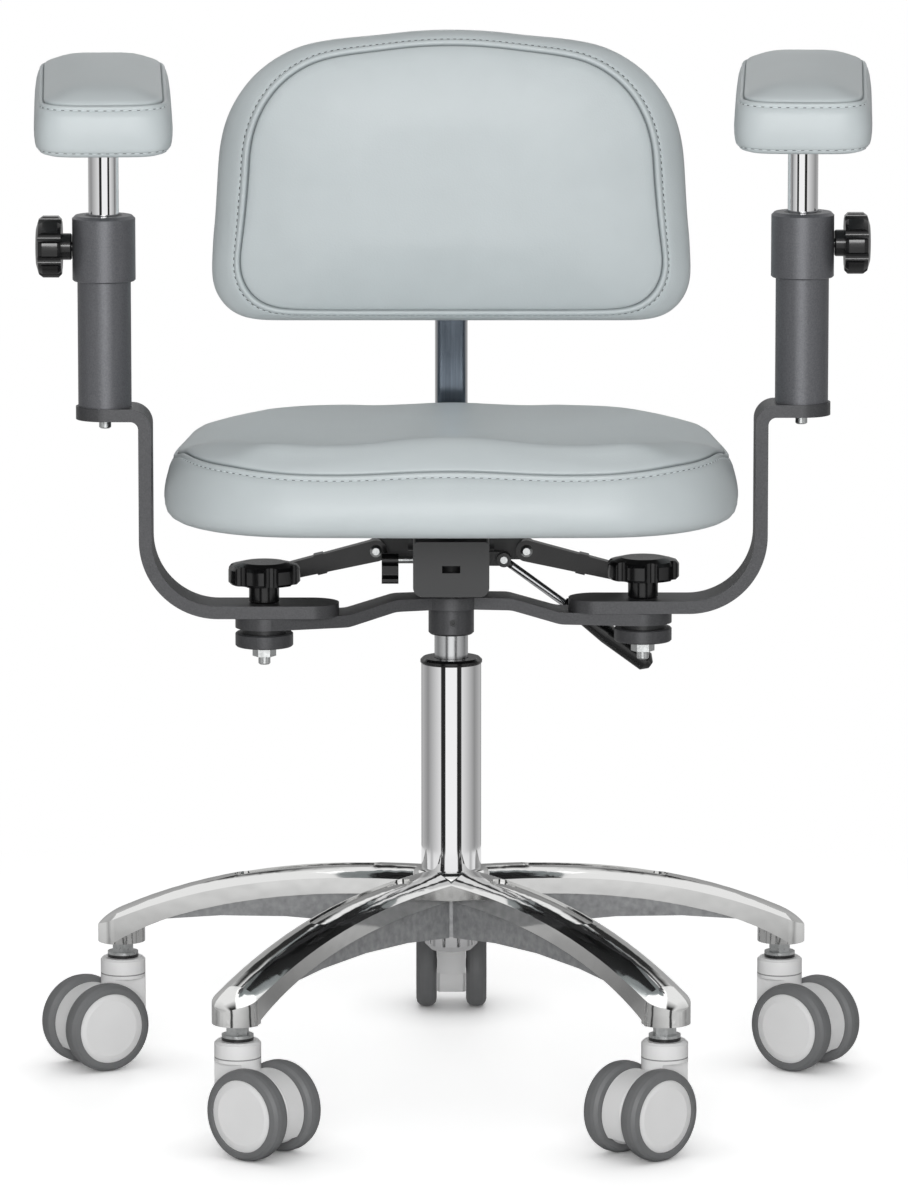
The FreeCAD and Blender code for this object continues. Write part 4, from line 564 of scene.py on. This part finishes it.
def mesh_piece(name, points, faces, *materials):
    """A smooth-shaded mesh object from points and faces."""
    mesh = bpy.data.meshes.new(name)
    mesh.from_pydata([tuple(point) for point in points], [], faces)
    for material in materials:
        mesh.materials.append(material)
    piece = bpy.data.objects.new(name, mesh)
    scene.collection.objects.link(piece)
    mesh.shade_smooth()
    return piece


def solid_copy(node, to_world):
    """A copy of a CAD cushion in its own local frame, with its loose triangles joined up."""
    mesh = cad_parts[node].data.copy()
    mesh.transform(to_world.inverted())
    piece = bpy.data.objects.new(node + "_form", mesh)
    scene.collection.objects.link(piece)
    only(piece)
    bpy.ops.object.mode_set(mode="EDIT")
    bpy.ops.mesh.select_all(action="SELECT")
    bpy.ops.mesh.remove_doubles(threshold=2e-5)
    bpy.ops.object.mode_set(mode="OBJECT")
    return piece


def tree_of(piece):
    """Search tree over a piece's faces, for casting rays at it."""
    mesh = piece.data
    faces = [tuple(face.vertices) for face in mesh.polygons]
    return BVHTree.FromPolygons([v.co.copy() for v in mesh.vertices], faces)


def ramp_up(value, low, high):
    """Smooth rise from 0 at low to 1 at high."""
    share = np.clip((value - low) / (high - low), 0, 1)
    return share * share * (3 - 2 * share)


def swell(piece, seam, voxel, cap, softness, rise):
    """Foam under the cover: remeshes the form and inflates it as cloth, held along its seam and underneath.

    rise gives the height that extra wadding adds, by place as shares of half width, half length and height.
    The cloth moves no further than cap."""
    only(piece)
    remesh = piece.modifiers.new("remesh", "REMESH")
    remesh.mode = "VOXEL"
    remesh.voxel_size = voxel
    bpy.ops.object.modifier_apply(modifier=remesh.name)
    relax = piece.modifiers.new("relax", "SMOOTH")
    relax.factor = 0.5
    relax.iterations = softness
    bpy.ops.object.modifier_apply(modifier=relax.name)
    mesh = piece.data
    rest = np.array([tuple(v.co) for v in mesh.vertices])
    rest[:, 2] += rise(*(rest / np.abs(rest).max(axis=0)).T)
    mesh.vertices.foreach_set("co", rest.ravel())
    mesh.update()
    pressure = 4.0
    settling = 20
    underside = 1.5 * voxel
    beside_seam = 1.2 * voxel
    held = piece.vertex_groups.new(name="sewn")
    for i, point in enumerate(rest):
        if point[2] < underside or np.min(np.linalg.norm(seam - point, axis=1)) < beside_seam:
            held.add([i], 1.0, "REPLACE")
    cloth = piece.modifiers.new("cover", "CLOTH")
    cloth.settings.vertex_group_mass = held.name
    cloth.settings.use_pressure = True
    cloth.settings.uniform_pressure_force = pressure
    cloth.settings.effector_weights.gravity = 0.0
    for frame_number in range(1, settling + 1):
        scene.frame_set(frame_number)
    posed = piece.evaluated_get(bpy.context.evaluated_depsgraph_get())
    moved = np.array([tuple(v.co) for v in posed.data.vertices]) - rest
    far = np.linalg.norm(moved, axis=1, keepdims=True)
    moved = moved * np.minimum(1.0, cap / np.maximum(far, 1e-9))
    piece.modifiers.remove(cloth)
    scene.frame_set(1)
    mesh.vertices.foreach_set("co", (rest + moved).ravel())
    mesh.update()
    finer = piece.modifiers.new("finer", "SUBSURF")
    finer.levels = finer.render_levels = 1
    bpy.ops.object.modifier_apply(modifier=finer.name)


def upholster(name, node, to_world, half, level, core, seam_height, voxel, cap, softness, rise, profile,
              edge_profile):
    """Sews a cushion over a CAD solid; returns the piece, its rings of points and normals in the local frame,
    and the ring at which each of the two profiles starts.

    profile and edge_profile give height above the cover, in mm, by distance from the seam and from the
    lower edge; rings of points lie at every one of their distances."""
    section_spacing = 0.003
    top_spacing = 0.006
    side_spacing = 0.004
    edge_height = 0.0015
    full_shade_depth = 0.003
    form = solid_copy(node, to_world)
    solid = tree_of(form)
    picked = stations(solid, half, level, core, section_spacing)
    lines = sections(solid, picked, level)
    places = sewn_at(lines, picked, seam_height)
    counted = np.arange(lines.shape[1])
    seam = np.array([[np.interp(place, counted, line[:, i]) for i in range(3)]
                     for place, line in zip(places, lines)])
    swell(form, seam, voxel, cap, softness, rise)
    lines = evened(sections(tree_of(form), picked, level), passes=12)
    bpy.data.objects.remove(form)
    walked = walked_along(lines)
    seam_at = np.array([np.interp(place, counted, walk) for place, walk in zip(places, walked)])
    seam_at = evened(seam_at, passes=8)
    distances = np.array([d for d, _ in profile]) / 1000
    heights = np.array([h for _, h in profile]) / 1000
    edge_distances = np.array([d for d, _ in edge_profile]) / 1000
    edge_heights = np.array([h for _, h in edge_profile]) / 1000
    end = walked[:, -1]
    low = np.argmax(lines[:, :, 2] < edge_height, axis=1)
    edge_at = evened(walked[np.arange(len(lines)), low], passes=8)
    start = seam_at + distances[0]
    stop = seam_at + distances[-1]
    edge_start = edge_at - edge_distances[0]
    top_count = int(np.mean(start) / top_spacing)
    side_count = max(int(np.mean(edge_start - stop) / side_spacing), 1)
    rings = [start * share for share in np.linspace(0, 1, top_count, endpoint=False)]
    raised = [0.0] * len(rings)
    for distance, height in zip(distances, heights):
        rings.append(seam_at + distance)
        raised.append(height)
    for share in np.linspace(0, 1, side_count + 1)[1:-1]:
        rings.append(stop + (edge_start - stop) * share)
        raised.append(0.0)
    edge_ring = len(rings)
    for distance, height in zip(edge_distances, edge_heights):
        rings.append(edge_at - distance)
        raised.append(height)
    for share in (0.25, 0.5, 1.0):
        rings.append(edge_at + (end - edge_at) * share)
        raised.append(0.0)
    points = np.array([[[np.interp(ring[k], walked[k], lines[k, :, i]) for i in range(3)] for ring in rings]
                       for k in range(len(lines))])
    points = evened(points, passes=2)
    down = np.gradient(points, axis=1)
    round_rim = np.roll(points, -1, axis=0) - np.roll(points, 1, axis=0)
    normals = np.cross(down, round_rim)
    normals /= np.maximum(np.linalg.norm(normals, axis=2, keepdims=True), 1e-12)
    if normals[:, 0, 2].mean() < 0:
        normals = -normals
    points = points + normals * np.array(raised)[None, :, None]
    count, depth = points.shape[:2]
    faces = []
    for k in range(count):
        after = (k + 1) % count
        for r in range(depth - 1):
            faces.append((k * depth + r, k * depth + r + 1, after * depth + r + 1, after * depth + r))
    piece = mesh_piece(name, points.reshape(-1, 3), faces, leather)
    # Painted shade for creases and stitch grooves: the deeper a ring sinks, the darker it is, full at 3 mm
    # deep.
    painted_shade_by_depth = np.clip(-np.array(raised) / full_shade_depth, 0, 1)
    piece.data.attributes.new("painted_crease_shade", "FLOAT", "POINT").data.foreach_set("value", np.tile(painted_shade_by_depth, count))
    work = bmesh.new()
    work.from_mesh(piece.data)
    rims = [edge for edge in work.edges if edge.is_boundary]
    filled = bmesh.ops.holes_fill(work, edges=rims, sides=0)["faces"]
    bmesh.ops.triangulate(work, faces=filled)
    bmesh.ops.recalc_face_normals(work, faces=work.faces)
    work.to_mesh(piece.data)
    work.free()
    piece.data.transform(to_world)
    piece.data.shade_smooth()
    return piece, points, normals, top_count, edge_ring


def stitch_row(name, points, normals, ring, spacing, to_world, slant):
    """Top stitches along one ring of a cushion: short threads that dip into needle holes, drawn as painted
    shade.

    bow gives a thread's course in shares of its length, and its height and radius in mm."""
    sides = 6
    thread_share = 0.68
    flattened = 0.8
    hole_radius = 0.0012
    hole_lift = 0.00012
    step = 0.001
    bow = ((-0.5, -0.5, 0.3), (-0.3, 0.25, 0.5), (0.0, 0.5, 0.55), (0.3, 0.25, 0.5), (0.5, -0.5, 0.3))
    line = points[:, ring]
    out = normals[:, ring]
    steps = np.linalg.norm(np.roll(line, -1, axis=0) - line, axis=1)
    walked = np.concatenate([[0.0], np.cumsum(steps)])
    closed = np.concatenate([line, line[:1]])
    outward = np.concatenate([out, out[:1]])
    count = round(walked[-1] / spacing)
    pitch = walked[-1] / count

    def at(distance):
        """Point and normal at a distance walked along the row, and directions ahead and across it."""
        here, there = [np.array([np.interp(d % walked[-1], walked, closed[:, i]) for i in range(3)])
                       for d in (distance, distance + step)]
        normal = np.array([np.interp(distance % walked[-1], walked, outward[:, i]) for i in range(3)])
        normal = normal / np.linalg.norm(normal)
        ahead = (there - here) / np.linalg.norm(there - here)
        return here, normal, ahead, np.cross(normal, ahead)

    verts = []
    faces = []
    slots = []
    for i in range(count):
        for j, (share, lift, radius) in enumerate(bow):
            point, normal, ahead, across = at((i + 0.5 + share * thread_share) * pitch)
            middle = point + normal * lift / 1000 + across * (slant * share / 1000)
            for k in range(sides):
                angle = 2 * math.pi * k / sides
                spoke = across * math.cos(angle) + normal * flattened * math.sin(angle)
                verts.append(middle + spoke * radius / 1000)
            if j:
                base = len(verts) - 2 * sides
                for k in range(sides):
                    after = (k + 1) % sides
                    faces.append((base + k, base + after, base + sides + after, base + sides + k))
                    slots.append(0)
        first = len(verts) - len(bow) * sides
        faces.append(tuple(first + k for k in reversed(range(sides))))
        faces.append(tuple(len(verts) - sides + k for k in range(sides)))
        slots += [0, 0]
        # Needle hole: a flat dark disc just above the cover, painted shade.
        point, normal, ahead, across = at(i * pitch)
        for k in range(sides):
            angle = 2 * math.pi * k / sides
            spoke = ahead * math.cos(angle) + across * math.sin(angle)
            verts.append(point + normal * hole_lift + spoke * hole_radius)
        faces.append(tuple(len(verts) - sides + k for k in range(sides)))
        slots.append(1)
    piece = mesh_piece(name, verts, faces, thread, needle_hole_shade)
    piece.data.polygons.foreach_set("material_index", slots)
    piece.data.transform(to_world)
    return piece


seat_place = Matrix.Translation((0, 0, 0.4943))
seat_half = 0.25
seam_low = 0.049
seam_hump = 0.0075
hump_width = 0.075
seam_ends = 0.012
corner_rise = 0.009
ridge_rise = 0.004
ridge_middle = 0.002


def seat_seam(rim, out):
    """Height of the seat's seam above its underside: it climbs to the ends and over the hump at the front."""
    hump = seam_hump * math.exp(-(rim.x / hump_width) ** 2) if rim.y < 0 else 0.0
    return seam_low + hump + seam_ends * abs(rim.x / seat_half) ** 1.5


def seat_wadding(x, y, z):
    """Extra wadding: rear corners almost as high as the rear edge, and a ridge along the saddle's crest."""
    corner = ramp_up(abs(x), 0.15, 0.75) * (1 - 0.75 * ramp_up(abs(x), 0.6, 0.95))
    corner = corner * ramp_up(y, -0.1, 0.45) * ramp_up(z, 0.45, 0.75)
    ridge = np.exp(-((y + 0.81) / 0.06) ** 2) * (1 - ramp_up(abs(x), 0.7, 0.92)) * ramp_up(z, 0.65, 0.8)
    return corner_rise * corner + (ridge_rise + ridge_middle * np.exp(-(x / 0.25) ** 2)) * ridge


lip_groove = (5.6, -0.5)
lip = ((-14, 0.0), (-9, 0.2), (-5, 0.3), (-2.6, 0.1), (-1.5, -0.2), (-0.6, -1.3), (0, -3.0), (0.4, -1.6),
       (0.9, 0.1), (2, 1.0), (3.2, 1.2), (4.2, 0.7), (5, -0.2), lip_groove, (6.4, -0.1), (8, 0.5), (12, 0.5),
       (20, 0.0))
plain_edge = ((8, 0.0), (4, 0.0), (2, 0.0), (0, 0.0))
seat, points, normals, lip_ring, _ = upholster(
    "seat_cover", "seat_cushion", seat_place, half=Vector((0.035, 0, 0)), level=0.028, core=0.038,
    seam_height=seat_seam, voxel=0.0055, cap=0.0015, softness=2, rise=seat_wadding,
    profile=lip, edge_profile=plain_edge)
stitches = stitch_row("seat_stitches", points, normals, ring=lip_ring + lip.index(lip_groove), spacing=0.0066,
                      to_world=seat_place, slant=0.5)
for piece in (seat, stitches):
    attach(piece, "seat")
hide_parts("seat_cushion")

# Back cushion: crowned front panel set into a band that runs round to the rear cover.
# The band's lip stands up round the panel like a welt and is top-stitched outside it.
back_place = Matrix(((1, 0, 0, 0), (0, 0, -1, 0.2067), (0, 1, 0, 0.75), (0, 0, 0, 1)))
seam_sides = 0.0408
seam_top = 0.0372
seam_foot = 0.0388


def panel_seam(rim, out):
    """Height of the back's panel seam over its rear face: a little lower along the top than at the sides."""
    end = seam_top if out.y > 0 else seam_foot
    return seam_sides + (end - seam_sides) * out.y ** 2


def back_wadding(x, y, z):
    """No extra wadding: the back's foam follows its form."""
    return np.zeros_like(z)


welt_groove = (7, -0.5)
welt = ((-16, 0.0), (-10, 0.3), (-5, 0.4), (-2.6, 0.2), (-1.5, -0.3), (-0.6, -1.7), (0, -3.4), (0.4, -1.6),
        (0.9, 0.4), (1.8, 1.3), (3, 1.7), (4.2, 1.4), (5.2, 0.6), (6.2, -0.3), welt_groove, (7.8, -0.1),
        (10, 0.4), (16, 0.0))
back, points, normals, welt_ring, _ = upholster(
    "back_cover", "back_cushion", back_place, half=Vector((0.08, 0, 0)), level=0.014, core=0.056,
    seam_height=panel_seam, voxel=0.0055, cap=0.005, softness=6, rise=back_wadding,
    profile=welt, edge_profile=plain_edge)
stitches = stitch_row("back_stitches", points, normals, ring=welt_ring + welt.index(welt_groove),
                      spacing=0.0055, to_world=back_place, slant=0.8)
for piece in (back, stitches):
    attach(piece, "backrest")
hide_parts("back_cushion")

# Arm pads: foam blocks sewn like the seat, with a second row of stitches near the lower edge.
# Both pads are one pattern; the left one is the right one turned about its post.
pad_turn = math.radians(2.8)
pad_tilt = math.radians(4.2)
right_place = (Matrix.Translation((0.2900, -0.0137, 0.8068)) @ Matrix.Rotation(-pad_turn, 4, "Z")
               @ Matrix.Rotation(pad_tilt, 4, "X"))
left_place = (Matrix.Translation((-0.2855, -0.0401, 0.8068)) @ Matrix.Rotation(math.pi + pad_turn, 4, "Z")
              @ Matrix.Rotation(-pad_tilt, 4, "X"))
pad_sewn = 0.0401
pad_rise = 0.006
pad_crown = 0.0025


def pad_seam(rim, out):
    """Height of the sewn edge round a pad."""
    return pad_sewn


def pad_wadding(x, y, z):
    """Extra wadding that lifts a pad's upper half and crowns its top."""
    crown = (1 - x ** 4) * (1 - y ** 4) * ramp_up(z, 0.85, 0.97)
    return pad_rise * ramp_up(z, 0.3, 0.8) + pad_crown * crown


pad_groove = (4.8, -0.4)
pad_lip = ((-10, 0.0), (-6, 0.3), (-3, 0.3), (-1.5, -0.2), (-0.6, -1.3), (0, -2.8), (0.4, -1.4), (0.9, 0.2),
           (2, 0.9), (3.2, 0.9), (4.2, 0.2), pad_groove, (5.4, -0.2), (7, 0.5), (12, 0.3))
hem_groove = (6.4, -0.5)
pad_hem = ((12, 0.2), (9, 0.5), (7.4, 0.2), hem_groove, (5.6, -0.2), (4, 0.5), (2, 0.3), (0, 0.0))
for side, place in (("right", right_place), ("left", left_place)):
    pad, points, normals, lip_ring, hem_ring = upholster(
        side + "_pad_cover", side + "_arm_pad", place, half=Vector((0, 0.06, 0)), level=0.018, core=0.02,
        seam_height=pad_seam, voxel=0.0042, cap=0.004, softness=6, rise=pad_wadding,
        profile=pad_lip, edge_profile=pad_hem)
    upper = stitch_row(side + "_pad_stitches", points, normals, ring=lip_ring + pad_lip.index(pad_groove),
                       spacing=0.0068, to_world=place, slant=0.5)
    lower = stitch_row(side + "_pad_hem_stitches", points, normals, ring=hem_ring + pad_hem.index(hem_groove),
                       spacing=0.0068, to_world=place, slant=0.3)
    for piece in (pad, upper, lower):
        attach(piece, side + "_pad")
    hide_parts(side + "_arm_pad")
